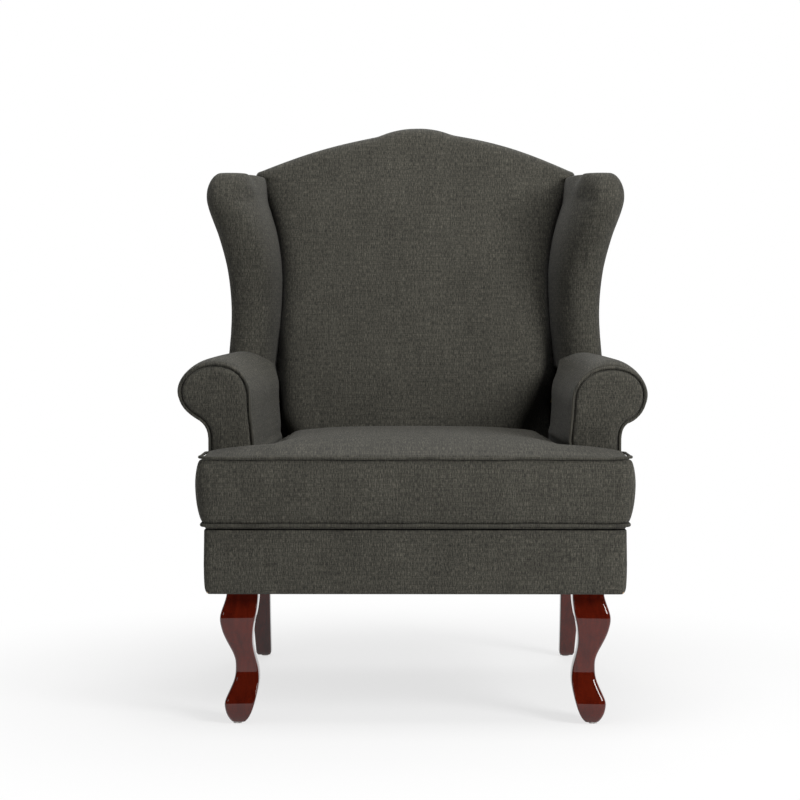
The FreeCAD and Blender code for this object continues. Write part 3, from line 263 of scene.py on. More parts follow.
def subdivided(thing):
    """The piece with one smooth subdivision baked into its mesh."""
    modifier = thing.modifiers.new("smooth", "SUBSURF")
    modifier.levels = modifier.render_levels = 1
    return bake_modifiers(thing)


def bake_modifiers(thing):
    """Turns what the modifiers make into the piece's own mesh."""
    bpy.context.view_layer.update()
    graph = bpy.context.evaluated_depsgraph_get()
    mesh = bpy.data.meshes.new_from_object(thing.evaluated_get(graph))
    thing.modifiers.clear()
    old = thing.data
    thing.data = mesh
    bpy.data.meshes.remove(old)
    shade_smooth(mesh)
    return thing


CLOTH = dict(quality=5, mass=0.3, tension_stiffness=25, compression_stiffness=20, shear_stiffness=10,
             bending_stiffness=1.0)
FILLING_FRAMES = 16


def stuffed(thing, pinned, cap, pressure):
    """Fills a closed cover like foam pressing on cloth. The pinned share (0 to 1 for each point) stays
    on its seams, and no point moves further than the cap in millimetres."""
    mesh = thing.data
    rest = np.array([vertex.co for vertex in mesh.vertices])
    group = thing.vertex_groups.new(name="seams")
    for vertex in mesh.vertices:
        share = pinned(vertex.co / MM)
        if share > 0:
            group.add([vertex.index], share, "REPLACE")
    modifier = thing.modifiers.new("filling", "CLOTH")
    cloth = modifier.settings
    for setting, value in CLOTH.items():
        setattr(cloth, setting, value)
    cloth.use_pressure = True
    cloth.uniform_pressure_force = pressure
    cloth.effector_weights.gravity = 0
    cloth.vertex_group_mass = "seams"
    modifier.collision_settings.use_collision = False
    scene = bpy.context.scene
    modifier.point_cache.frame_start = 1
    modifier.point_cache.frame_end = FILLING_FRAMES
    for number in range(1, FILLING_FRAMES + 1):
        scene.frame_set(number)
    graph = bpy.context.evaluated_depsgraph_get()
    result = thing.evaluated_get(graph).data
    moved = np.array([vertex.co for vertex in result.vertices]) - rest
    thing.modifiers.remove(modifier)
    scene.frame_set(1)
    lengths = np.linalg.norm(moved, axis=1)
    limit = cap * MM
    scale = limit * np.tanh(lengths / limit) / np.maximum(lengths, 1e-9)
    final = rest + moved * scale[:, None]
    mesh.vertices.foreach_set("co", final.ravel())
    mesh.update()
    return thing


# Materials


class Tree:
    """Short ways to add, set and join the nodes of one shader tree."""

    def __init__(self, tree):
        self.tree = tree

    def put(self, socket, value):
        if isinstance(value, bpy.types.NodeSocket):
            self.tree.links.new(value, socket)
        elif value is not None:
            socket.default_value = value

    def add(self, kind, settings=None, **inputs):
        node = self.tree.nodes.new("ShaderNode" + kind)
        for setting, value in (settings or {}).items():
            setattr(node, setting, value)
        return self.fill(node, **inputs)

    def fill(self, node, **inputs):
        """Sets or joins a node's inputs by their labels, with _ for a space."""
        for label, value in inputs.items():
            self.put(node.inputs[label.replace("_", " ")], value)
        return node

    def math(self, operation, *values):
        node = self.add("Math", {"operation": operation})
        for socket, value in zip(node.inputs, values):
            self.put(socket, value)
        return node.outputs[0]

    def reach(self, value, low=0.0, high=1.0, low_out=0.0, high_out=1.0, **settings):
        """Maps a range of a value to another range."""
        return self.add("MapRange", settings, Value=value, From_Min=low, From_Max=high, To_Min=low_out,
                        To_Max=high_out).outputs["Result"]

    def blend(self, factor, first, second):
        node = self.add("Mix", {"data_type": "RGBA"})
        for index, value in ((0, factor), (6, first), (7, second)):
            self.put(node.inputs[index], value)
        return node.outputs[2]

    def either(self, amount, first, second):
        node = self.add("MixShader")
        for socket, value in zip(node.inputs, (amount, first, second)):
            self.put(socket, value)
        return node.outputs[0]

    def noise(self, vector, scale, detail, **more):
        settings = {"noise_dimensions": "2D"} if len(scale) == 2 else {}
        if len(set(scale)) > 1:
            placed = self.add("Mapping", Vector=vector, Scale=(*scale, 1)[:3])
            vector, scale = placed.outputs[0], (1.0,)
        return self.add("TexNoise", settings, Vector=vector, Scale=float(scale[0]), Detail=detail,
                        **more).outputs["Fac"]


def new_group(name, vector_and_more, outputs=("Color", "Height", "Roughness")):
    """An empty shader group with named sockets. A tuple stands for a colour and a number for a value."""
    group = bpy.data.node_groups.new(name, "ShaderNodeTree")
    group.interface.new_socket("Vector", in_out="INPUT", socket_type="NodeSocketVector")
    for label, default in vector_and_more.items():
        kind = "NodeSocketColor" if isinstance(default, tuple) else "NodeSocketFloat"
        socket = group.interface.new_socket(label.replace("_", " "), in_out="INPUT", socket_type=kind)
        socket.default_value = default
    for label in outputs:
        kind = "NodeSocketColor" if label == "Color" else "NodeSocketFloat"
        group.interface.new_socket(label, in_out="OUTPUT", socket_type=kind)
    return group, Tree(group), group.nodes.new("NodeGroupInput").outputs, group.nodes.new("NodeGroupOutput")


def slub_weave_group():
    """Charcoal cloth of flecked yarns: threads over and under, slubs along both ways, and soft patches."""
    group, tree, source, sink = new_group("slub_weave", dict(
        Yarn=(0.07, 0.066, 0.055, 1), Dark_Yarn=(0.02, 0.02, 0.018, 1), Light_Yarn=(0.2, 0.18, 0.145, 1),
        Threads_per_Metre=900.0, Slub=1.0,
    ))

    def noise(across, along_thread, detail):
        return tree.noise(source["Vector"], (across, along_thread), detail, Roughness=0.6)

    def product(first, *rest):
        for value in rest:
            first = tree.math("MULTIPLY", first, value)
        return first

    split = tree.add("SeparateXYZ", Vector=source["Vector"]).outputs
    turns = product(source["Threads per Metre"], math.pi)
    warp, weft = (tree.math("SINE", product(split[axis], turns)) for axis in "XY")
    over = product(warp, weft)
    warp_slub = noise(850, 130, 2.0)
    weft_slub = noise(150, 800, 2.0)
    fleck = noise(1300, 560, 1.0)
    long_warp = noise(420, 16, 2.0)
    long_weft = noise(14, 420, 2.0)
    patch = noise(14, 9, 3.0)
    light = product(tree.reach(warp_slub, 0.5, 0.72), source["Slub"], 0.55)
    light_weft = product(tree.reach(weft_slub, 0.52, 0.76), source["Slub"], 0.3)
    bright = tree.math("ADD", light, light_weft)
    bright = tree.math("ADD", bright, product(tree.reach(fleck, 0.6, 0.8), 0.35))
    dark = tree.math("MAXIMUM", tree.reach(warp_slub, 0.46, 0.3), tree.reach(fleck, 0.42, 0.26))
    colour = tree.blend(tree.reach(dark, 0.0, 1.0, 0.0, 0.75), source["Yarn"], source["Dark Yarn"])
    colour = tree.blend(tree.reach(bright, 0.0, 1.0, 0.0, 0.8), colour, source["Light Yarn"])
    shade = product(
        tree.reach(over, -1.0, 1.0, 0.86, 1.1), tree.reach(patch, 0.3, 0.7, 0.92, 1.08),
        tree.reach(long_warp, 0.3, 0.7, 0.82, 1.2), tree.reach(long_weft, 0.3, 0.7, 0.86, 1.15),
    )
    tint = tree.add("VectorMath", {"operation": "SCALE"}, Vector=colour, Scale=shade)
    height = tree.math("ADD", product(over, 0.35), warp_slub)
    height = tree.math("ADD", height, product(weft_slub, 0.7))
    tree.fill(sink, Color=tint.outputs[0], Height=height, Roughness=tree.reach(bright, 0.0, 1.0, 0.92, 0.78))
    return group


def wood_grain_group():
    """Long grain lines and pores down a piece of wood."""
    group, tree, source, sink = new_group("wood_grain", dict(
        Light=(0.5, 0.35, 0.2, 1), Dark=(0.3, 0.2, 0.1, 1), Rough=0.5,
    ))
    drawn_out = tree.add("Mapping", Vector=source["Vector"], Scale=(1, 1, 0.12)).outputs[0]
    broad = tree.noise(drawn_out, (60,), 5, Distortion=1.4)
    pores = tree.noise(drawn_out, (700,), 2)
    grain = tree.math("ADD", broad, tree.math("MULTIPLY", pores, 0.25))
    colour = tree.blend(tree.reach(grain, 0.42, 0.82), source["Dark"], source["Light"])
    rough = tree.math("ADD", source["Rough"], tree.math("MULTIPLY", pores, 0.08))
    tree.fill(sink, Color=colour, Height=pores, Roughness=rough)
    return group


WEAVE = slub_weave_group()
GRAIN = wood_grain_group()


def finished_material(name, make_finish, bump, bump_deep, **inputs):
    """A material from a colour, a roughness and a height, joined to its own shader."""
    material, tree = blank_material(name)
    colour, rough, height = make_finish(tree)
    relief = tree.add("Bump", Strength=bump, Distance=bump_deep, Height=height)
    shader = tree.tree.nodes["Principled BSDF"]
    tree.fill(shader, Base_Color=colour, Roughness=rough, Normal=relief.outputs[0], **inputs)
    return material


def blank_material(name):
    material = bpy.data.materials.new(name)
    material.use_nodes = True
    return material, Tree(material.node_tree)


def group_finish(group, place, **values):
    """What a shared group gives at a place on the piece."""
    def make(tree):
        out = tree.add("Group", {"node_tree": group}, Vector=place(tree), **values).outputs
        return out["Color"], out["Roughness"], out["Height"]
    return make


def object_place(tree):
    return tree.add("TexCoord").outputs["Object"]


def weave_place(tree):
    return tree.add("UVMap", {"uv_map": "weave"}).outputs[0]


def cloth_material(name, yarn, dark, light, threads=900.0, slub=1.0, place=weave_place):
    """Woven upholstery, laid out by its own thread lines or by the place on the object."""
    finish = group_finish(WEAVE, place, Yarn=yarn, Dark_Yarn=dark, Light_Yarn=light, Threads_per_Metre=threads,
                          Slub=slub)
    return finished_material(name, finish, 0.55, 0.0005, Sheen_Weight=0.06, Sheen_Roughness=0.5,
                             Specular_IOR_Level=0.2)


def wood_material(name, light, dark, rough, coat=0.0, bump=0.3):
    finish = group_finish(GRAIN, object_place, Light=light, Dark=dark, Rough=rough)
    return finished_material(name, finish, bump, 0.0002, Coat_Weight=coat, Coat_Roughness=0.04,
                             Specular_IOR_Level=0.5 - 0.5 * coat)


def speckled_material(name, low, high, rough, metallic=0.0, scale=400.0):
    """A plain finish whose colour and gloss change a little over the surface."""
    def finish(tree):
        speck = tree.noise(object_place(tree), (scale,), 3)
        return tree.blend(speck, low, high), tree.reach(speck, 0.0, 1.0, rough - 0.06, rough + 0.06), speck

    return finished_material(name, finish, 0.15, 0.0002, Metallic=metallic)


CHARCOAL = dict(yarn=(0.049, 0.0475, 0.039, 1), dark=(0.015, 0.0155, 0.0135, 1), light=(0.165, 0.152, 0.12, 1))
COVER = cloth_material("charcoal_slub_cloth", **CHARCOAL)
PIPING = cloth_material("charcoal_piping_cloth", **CHARCOAL, threads=700.0, slub=0.7,
                        place=object_place)
DECK_CLOTH = cloth_material("deck_cloth", (0.045, 0.043, 0.038, 1), (0.02, 0.02, 0.018, 1),
                            (0.09, 0.085, 0.07, 1), threads=1200.0, slub=0.3)
DUST_CLOTH = speckled_material("black_cambric", (0.012, 0.012, 0.012, 1), (0.03, 0.03, 0.03, 1), 0.9, scale=900)
JUTE = cloth_material("jute_webbing", (0.3, 0.22, 0.12, 1), (0.16, 0.11, 0.06, 1), (0.45, 0.35, 0.2, 1),
                      threads=500.0, place=object_place)
CHERRY = wood_material("gloss_cherry_lacquer", (0.105, 0.0085, 0.002, 1), (0.058, 0.004, 0.001, 1), 0.35,
                       coat=1.0, bump=0.03)
SAWN_WOOD = wood_material("sawn_hardwood", (0.62, 0.45, 0.27, 1), (0.42, 0.28, 0.15, 1), 0.6)
STEEL = speckled_material("zinc_plated_steel", (0.4, 0.4, 0.41, 1), (0.52, 0.52, 0.53, 1), 0.38, metallic=1.0)
NYLON = speckled_material("natural_nylon", (0.78, 0.78, 0.75, 1), (0.86, 0.86, 0.84, 1), 0.45)

NODE_FINISH = {
    "frame_wood": SAWN_WOOD,
    "leg_finish": CHERRY,
    "glide_nylon": NYLON,
    "steel": STEEL,
    "webbing": JUTE,
    "dust_cloth": DUST_CLOTH,
    "upholstery": COVER,
    "cushion_cover": COVER,
    "welt_cord": PIPING,
}


def finish_nodes():
    """Gives every CAD node the finish of its slot in the record."""
    for part in frame["record"]["subparts"]:
        node = frame["nodes"][part["node"]]
        node.data.materials.clear()
        node.data.materials.append(NODE_FINISH[part["material_slot"]])


def dress(thing, nodes, material=COVER, body=FRAME_BODY):
    """Finishes a piece: its thread lines and cloth, what it rides on and what it stands for."""
    if material in (COVER, DECK_CLOTH):
        weave_map(thing)
    thing.data.materials.clear()
    thing.data.materials.append(material)
    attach(thing, body)
    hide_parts(*nodes)


# Piping


def cord_along_edge_tree():
    """A round cord that follows an edge line."""
    tree = bpy.data.node_groups.new("cord_along_edge", "GeometryNodeTree")
    tree.interface.new_socket("Geometry", in_out="INPUT", socket_type="NodeSocketGeometry")
    sockets = {}
    for label, kind in (("Radius", "Float"), ("Sides", "Int"), ("Cloth", "Material")):
        sockets[label] = tree.interface.new_socket(label, in_out="INPUT", socket_type=f"NodeSocket{kind}").identifier
    tree.interface.new_socket("Geometry", in_out="OUTPUT", socket_type="NodeSocketGeometry")
    source, line, circle, sweep, whole, finish, sink = (tree.nodes.new(kind) for kind in (
        "NodeGroupInput", "GeometryNodeMeshToCurve", "GeometryNodeCurvePrimitiveCircle", "GeometryNodeCurveToMesh",
        "GeometryNodeRealizeInstances", "GeometryNodeSetMaterial", "NodeGroupOutput"))
    sweep.inputs["Fill Caps"].default_value = True
    for start, out, end, into in (
        (source, "Geometry", line, "Mesh"), (source, "Radius", circle, "Radius"),
        (source, "Sides", circle, "Resolution"), (line, "Curve", sweep, "Curve"),
        (circle, "Curve", sweep, "Profile Curve"), (sweep, "Mesh", whole, "Geometry"),
        (whole, "Geometry", finish, "Geometry"), (source, "Cloth", finish, "Material"),
        (finish, "Geometry", sink, "Geometry"),
    ):
        tree.links.new(start.outputs[out], end.inputs[into])
    return tree, sockets


PIPING_TREE, PIPING_SOCKETS = cord_along_edge_tree()
PIPING_SIDES = 10


def piping(name, points, radius, closed):
    """A piping cord along points in millimetres, as a plain mesh."""
    count = len(points)
    edges = [(step, (step + 1) % count) for step in range(count if closed else count - 1)]
    mesh = bpy.data.meshes.new(name)
    mesh.from_pydata([Vector(point) * MM for point in points], edges, [])
    thing = placed(name, mesh)
    modifier = thing.modifiers.new("piping", "NODES")
    modifier.node_group = PIPING_TREE
    modifier[PIPING_SOCKETS["Radius"]] = radius * MM
    modifier[PIPING_SOCKETS["Sides"]] = PIPING_SIDES
    modifier[PIPING_SOCKETS["Cloth"]] = PIPING
    bake_modifiers(thing)
    reworked(thing.data, lambda body: bmesh.ops.recalc_face_normals(body, faces=body.faces))
    return thing


# Inside back

PAD_BESIDE_WINGS = (
    (700.0, 254.5), (760.0, 255.0), (820.0, 264.0), (870.0, 278.0), (900.0, 289.0), (925.0, 299.0), (940.0, 303.0),
)
PAD_SIDES = {  # height and half width of the pad beside the arms and the wings
    1: (
        (335.0, 190.0), (400.0, 196.0), (457.0, 206.0), (500.0, 226.0), (540.0, 243.0), (580.0, 252.0),
        (640.0, 256.5), *PAD_BESIDE_WINGS,
    ),
    -1: (
        (335.0, 200.0), (400.0, 212.0), (430.0, 226.0), (457.0, 241.0), (480.0, 249.0), (520.0, 252.0),
        (580.0, 254.0), (640.0, 257.0), *PAD_BESIDE_WINGS,
    ),
}
PAD_FRONT = (  # height, front face of the pad
    (335.0, 150.0), (430.0, 152.0), (500.0, 162.0), (560.0, 176.0), (700.0, 219.0), (850.0, 268.0), (1006.0, 320.0),
    (1046.0, 333.0),
)
PAD_FREE = 944.0  # above this the pad runs out over the tops of the wings
PAD_ROLL = 50.0  # how far in from its sides the pad starts to turn back
PAD_ROLL_DEEP = 34.0
PAD_TOP_ROLL = 24.0
PAD_LOW = 335.0
PAD_BELLY = 6.0  # how far its middle stands in front of its sides
PAD_COLUMNS = 96
PAD_ROWS = 124
CREST_FROM = 905.0  # from here up the pad runs back over the crest to the outside back
BACK_COVER = 5.3  # how far in front of the back's rear face it ends there
PAD_REAR = 47.0  # and how far below, where the webbing is
PAD_SPREAD = 9  # the height over which the pad widens at the tops of the wings


def pad_half(z, side):
    """Half width of the pad at a height. It spreads over the tops of the wings."""
    if z < PAD_FREE - PAD_SPREAD:
        return along(PAD_SIDES[side], z, 1)
    return mix(along(PAD_SIDES[side], z, 1), BACK_HALF, smooth((z - PAD_FREE + PAD_SPREAD) / PAD_SPREAD))


def closed_half(z, half):
    """Half width of the cloth drawn back at the pad's sides, which closes the corners from sight."""
    beside_arm = mix(262.0, 280.0, smooth((z - 490) / 70))
    return mix(beside_arm, half + 14.0, smooth((z - 620) / 60))


def inside_back():
    """The tight stuffed back: full in front, turned back beside the wings and rolled over the crest."""
    def spots(u, v):
        across = 2 * u - 1
        side = 1 if across >= 0 else -1
        spread = side * (1 - (1 - abs(across)) ** 1.3)
        z = mix(PAD_LOW, CREST_HIGH, v)
        for _ in range(3):
            half = pad_half(min(z, CREST_END - 4), side)
            x = spread * half
            z = mix(PAD_LOW, crest_z(x), v)
        turn = 1 - clamp((half - abs(x)) / PAD_ROLL)
        roll = PAD_ROLL_DEEP * (1 - math.sqrt(1 - turn**2.4))
        top = crest_z(x) - z
        over = PAD_TOP_ROLL * (1 - math.sqrt(1 - (1 - clamp(top / PAD_TOP_ROLL)) ** 2))
        y = along(PAD_FRONT, z, 1) + PAD_BELLY * spread**2 + math.hypot(roll, over)
        if z >= CREST_FROM:
            return (x, y, z), (x, back_rear(z) - BACK_COVER, z)
        reach = max(closed_half(z, half) - half, 5.0) * smooth((abs(spread) - 0.8) / 0.2)
        return (x, y, z), (x + side * reach, max(back_rear(z) - PAD_REAR, y + 2), z)

    pad = slab("inside_back_cover", PAD_COLUMNS, PAD_ROWS, spots)

    def pinned(spot):
        side = 1 if spot.x >= 0 else -1
        free = smooth((pad_half(min(spot.z, CREST_END - 4), side) - abs(spot.x) - 8) / 60)
        free *= smooth((crest_z(spot.x) - spot.z - 8) / 70) * smooth((spot.z - PAD_LOW - 20) / 80)
        return 1 - 0.97 * free if spot.y < back_rear(spot.z) - 40 else 1.0

    stuffed(pad, pinned, cap=5, pressure=3)
    subdivided(pad)
    dress(pad, ["inside_back_pad"])


# Wings

WING = (  # height, middle of the front roll, front, half thickness, inner face at the back pad
    (570.0, 317.0, 123.0, 37.5, 268.0),
    (640.0, 310.5, 126.0, 38.0, 260.5),
    (700.0, 309.5, 124.0, 38.0, 257.5),
    (760.0, 315.0, 112.0, 37.5, 258.0),
    (820.0, 329.0, 86.0, 37.0, 267.0),
    (870.0, 346.0, 66.0, 36.5, 281.0),
    (900.0, 352.5, 65.0, 36.0, 292.0),
    (921.0, 352.0, 72.0, 35.5, 302.0),
    (940.0, 350.0, 90.0, 30.0, 306.0),
)
WING_REAR_X = 318.0
WING_LOW = 570
WING_SHOULDER = 892.0  # where the wing starts to round over its top
WING_TOP = 940.0
STRAPS = 48.8  # rear face of the stuffing inside the outside back


def bezier(a, b, c, d, t):
    s = 1 - t
    return tuple(s**3 * p + 3 * s * s * t * q + 3 * s * t * t * r + t**3 * w for p, q, r, w in zip(a, b, c, d))


def wing_ring(z):
    """Level outline of the right wing: flat outer side, round nose, and an inner side that turns away
    slowly to the back pad."""
    middle, front, half, inner = (along(WING, z, column) for column in (1, 2, 3, 4))
    rear = back_rear(z) - STRAPS
    deep = rear - front
    ring = []
    outer = (middle + half, front + half)
    for step in range(14):
        t = step / 14
        belly = 2.0 * math.sin(math.pi * t)
        ring.append((mix(WING_REAR_X, outer[0], t) + belly, mix(rear, outer[1], t), z))
    nose = (middle + 6, front)
    for step in range(9):
        x, y = bezier(outer, (outer[0], front + half * 0.42), (middle + half * 0.7, front), nose, step / 9)
        ring.append((x, y, z))
    wide = nose[0] - inner
    for step in range(26):
        x, y = bezier(nose, (nose[0] - wide * 0.62, front), (inner + wide * 0.03, front + deep * 0.2),
                      (inner - 1, rear), step / 26)
        ring.append((x, y, z))
    for step in range(5):
        ring.append((mix(inner - 1, WING_REAR_X, step / 5), rear, z))
    return ring


def wings():
    rings = [wing_ring(z) for z in range(WING_LOW, int(WING_SHOULDER) + 1, 6)]
    top = wing_ring(WING_SHOULDER)
    middle = sum((Vector(point) for point in top), Vector()) / len(top)
    ridge = middle.x - 9.0
    rise = WING_TOP - WING_SHOULDER
    for step in range(1, 9):
        angle = math.pi / 2 * step / 8.6
        reach = math.cos(angle)
        height = WING_SHOULDER + rise * math.sin(angle)
        ring = []
        for x, y, _ in top:
            inset = mix(28.0, 44.0, smooth((x - ridge + 15) / 30)) * (1 - reach)
            away = Vector((x - ridge, y - middle.y, 0))
            length = max(away.length, 1e-6)
            spot = Vector((x, y, 0)) - away * min(inset / length, 0.94)
            ring.append((spot.x, spot.y, height))
        rings.append(ring)
    wing = tube_of_rings("wing_cover_right", rings)

    def pinned(spot):
        rear = back_rear(spot.z) - STRAPS
        free = smooth((rear - spot.y - 6) / 50) * smooth((spot.z - 600) / 50)
        return 1 - 0.9 * free

    stuffed(wing, pinned, cap=3, pressure=3)
    subdivided(wing)
    for name, thing in (("right", wing), ("left", mirrored(wing, "wing_cover_left"))):
        dress(thing, [f"wing_pad_{name}"])


# Arms

ARM_SHAPE = {  # millimetres from the middle plane and from the floor
    1: dict(edge=346.5, neck=(358.0, 498.5), low_pull=(374.0, 504.0), outer=(389.5, 544.0), top=(333.0, 591.5),
            inner=(267.0, 530.0), sill=(261.5, 466.0), rise=5.0, flare=0.026),
    -1: dict(edge=348.5, neck=(364.0, 503.0), low_pull=(381.0, 513.0), outer=(399.3, 550.0), top=(340.0, 597.5),
             inner=(281.0, 536.0), sill=(275.0, 462.0), rise=0.5, flare=-0.008),
}


def arm_profile(side, grow, low):
    """Front outline of an arm as even points, from the neck round the roll and down the inside."""
    shape = ARM_SHAPE[side]
    edge = shape["edge"]
    neck_x, neck_z = shape["neck"]
    outer_x, outer_z = shape["outer"]
    top_x, top_z = shape["top"]
    inner_x, inner_z = shape["inner"]
    sill_x, sill_z = shape["sill"]
    outer_x += grow
    top_z += grow * (1 + shape["rise"] / ARM_SWELL)
    inner_x -= grow * 0.2
    neck = (neck_x, neck_z - grow * 0.7)
    outer = (outer_x, outer_z)
    top = (top_x, top_z)
    inner = (inner_x, inner_z)
    sill = (sill_x, sill_z)
    runs = [
        ((edge, 471.0), (edge + 0.5, neck_z - 15), (neck_x - 8, neck[1] - 6), neck),
        (neck, shape["low_pull"], (outer_x, outer_z - 24), outer),
        (outer, (outer_x, outer_z + 27), (top_x + 34, top_z), top),
        (top, (top_x - 35, top_z), (inner_x, inner_z + 41), inner),
        (inner, (inner_x, inner_z - 24), (sill_x + 1, sill_z + 20), sill),
        (sill, (sill_x, sill_z - 12), (ARM_INNER, 456.0), (ARM_INNER, 444.0)),
        ((ARM_INNER, 444.0), (ARM_INNER, 420.0), (ARM_INNER, 380.0), (ARM_INNER, low)),
    ]
    points = []
    for (a, b, c, d), steps in zip(runs, (5, 9, 16, 16, 8, 4, 6)):
        points += [bezier(a, b, c, d, step / steps) for step in range(steps)]
    points.append(runs[-1][3])
    return points


ARM_INNER = 270.0  # inner face of an arm below the cushion's top
ARM_LOW = 322.0
ARM_SWELL = 9.0
ARM_WELTED = 2.4  # how far the roll stands outside the facing's outline right behind the welt
ARM_END = 283.0  # the last level of an arm's stuffing, beside the back posts
ARM_TUCK = 22.0  # how far the inner side is drawn in beside the back pad


def arm_cover(side):
    """A stuffed arm roll that swells behind its facing and runs back into the wing and the back.
    Made as a right arm."""
    front = -ARM_FRONT + 5.0
    rings = []
    stations = [0, 2, 5, 10, 18, 30, 46, 66] + [66 + 20 * step for step in range(1, 25)]
    for reach in stations:
        y = front + reach
        grow = ARM_WELTED + (ARM_SWELL - ARM_WELTED) * (1 - math.exp(-reach / 15.0))
        shift = TOE_IN * reach
        tuck = ARM_TUCK * smooth((y - 135) / 120)
        ring = []
        for x, z in arm_profile(side, grow, ARM_LOW):
            inside = smooth((300.0 - x) / 30) * smooth((z - 330) / 40)
            back = tuck * inside + ARM_SHAPE[side]["flare"] * reach * inside * smooth((z - 445) / 25)
            ring.append((x - shift + back, y, z))
        ring += [(330.0 - shift, y, ARM_LOW), (342.0 - shift, y, 330.0), (342.6 - shift, y, 400.0),
                 (343.5 - shift, y, 462.0)]
        rings.append(ring)
    arm = tube_of_rings("arm_cover_right" if side > 0 else "arm_cover_left", rings)

    def pinned(spot):
        free = smooth((spot.y - front - 3) / 40) * smooth((250 - spot.y) / 60)
        free *= smooth((spot.z - 350) / 60)
        if spot.x > 330 and spot.z < 490:
            free = 0
        return 1 - 0.93 * free

    stuffed(arm, pinned, cap=3.5, pressure=3)
    return subdivided(arm)


def arms():
    for name, side in SIDES:
        arm = arm_cover(side)
        if side < 0:
            turn_over(arm)
        dress(arm, [f"arm_pad_{name}"])


FACING_LOW = 331.0
FACING_SECTION = (  # inset from the outline, distance behind the face
    (1.5, 8.0), (1.5, 5.2), (2.2, 4.6), (4.2, 4.4), (4.6, 3.6), (5.0, 1.2), (6.2, -0.4), (8.6, -1.6), (12.5, -2.5),
    (18.0, -3.2), (25.0, -3.6),
)
FACING_CORD = 2.3


def facing_outline(side):
    edge = ARM_SHAPE[side]["edge"]
    outline = arm_profile(side, 0.0, FACING_LOW)
    outline += [(300.0, FACING_LOW), (325.0, FACING_LOW), (edge, FACING_LOW)]
    outline += [(edge, 370.0), (edge, 410.0), (edge, 445.0), (edge, 460.0)]
    return outline


def inset_outline(outline, distance):
    """The closed outline moved inwards by a distance."""
    count = len(outline)
    area = sum(outline[i][0] * outline[(i + 1) % count][1] - outline[(i + 1) % count][0] * outline[i][1]
               for i in range(count))
    turn = 1 if area > 0 else -1
    moved = []
    for i in range(count):
        before = Vector(outline[i - 1])
        here = Vector(outline[i])
        after = Vector(outline[(i + 1) % count])
        arriving = (here - before).normalized()
        leaving = (after - here).normalized()
        normal = Vector((-arriving.y - leaving.y, arriving.x + leaving.x)) * turn
        normal = normal / max(normal.length_squared / 2, 0.5)
        moved.append(tuple(here + normal * distance))
    return moved


def facings():
    """Welted arm fronts with a low crown."""
    front = -ARM_FRONT - 1.0
    for name, sign in SIDES:
        outline = facing_outline(sign)
        rings = []
        for inset, forward in FACING_SECTION:
            rings.append([(x, front + forward, z) for x, z in inset_outline(outline, inset)])
        facing = tube_of_rings(f"arm_facing_cover_{name}", rings)
        subdivided(facing)
        if sign < 0:
            turn_over(facing)
        dress(facing, [f"arm_facing_{name}"])
        cord = [(sign * x, -ARM_FRONT + 1.2, z) for x, z in outline]
        first = next(i for i, point in enumerate(cord) if point[2] == FACING_LOW)
        last = max(i for i, point in enumerate(cord) if point[2] == FACING_LOW)
        welt = piping(f"arm_facing_piping_{name}", cord[last:] + cord[:first + 1], FACING_CORD,
                      closed=False)
        dress(welt, [f"arm_facing_welt_{name}"], material=PIPING)


# Flat covered panels


def bulged_panel(name, place, across, up, thick, puff, edge=10.0):
    """A covered panel. place(u, v) gives the middle of its outer face and the outward direction."""
    def spots(u, v):
        spot, normal, width, height = place(u, v)
        margin = min(u, 1 - u) * width, min(v, 1 - v) * height
        rise = 1.0
        for gap in margin:
            rise *= math.sqrt(1 - (1 - clamp(gap / edge)) ** 2) * 0.5 + 0.5
        drop = thick * (1 - rise)
        swell = puff * smooth(margin[0] / 90) * smooth(margin[1] / 90)
        spot = Vector(spot)
        return spot + normal * (swell - drop), spot - normal * thick

    return slab(name, across, up, spots)


def outside_back():
    def place(u, v):
        low = COVER_LOW
        z = low + v * (crest_z((2 * u - 1) * BACK_HALF) - low)
        between_arms = side_x(back_rear(z)) - 4.3
        x = (2 * u - 1) * mix(between_arms, BACK_HALF, smooth((z - 470) / 30))
        lean = Vector((0, 1, -BACK_SLOPE)).normalized()
        return (x, back_rear(z), z), lean, 2 * BACK_HALF, 760.0

    panel = bulged_panel("outside_back_cover", place, 72, 90, 5.0, 1.5, edge=5.0)
    dress(panel, ["outside_back_panel"])


def side_panels(part, place, *sizes):
    """A right panel and its left twin."""
    for name, sign in SIDES:
        panel = bulged_panel(f"{part}_cover_{name}", place, *sizes)
        if sign < 0:
            turn_over(panel)
        dress(panel, [f"{part}_panel_{name}"])


def outside_arms():
    def place(u, v):
        z = mix(COVER_LOW, 480.0, v)
        y = mix(-ARM_FRONT + 8.0, back_rear(z), u)
        return (side_x(y), y, z), Vector((1, TOE_IN, 0)).normalized(), 560.0, 258.0

    side_panels("outside_arm", place, 64, 34, 4.0, 1.5, 5.0)


def outside_wings():
    """The outer cover of a wing where it runs on over the side of the back post."""
    def place(u, v):
        z = mix(479.0, 943.0, v)
        near = max(back_rear(z) - STRAPS + 0.4, ARM_END + 1.5)
        return (BACK_HALF + 4.6, mix(near, back_rear(z) - 0.3, u), z), Vector((1, 0, 0)), 49.0, 464.0

    side_panels("outside_wing", place, 12, 80, 4.2, 0.3, 3.0)


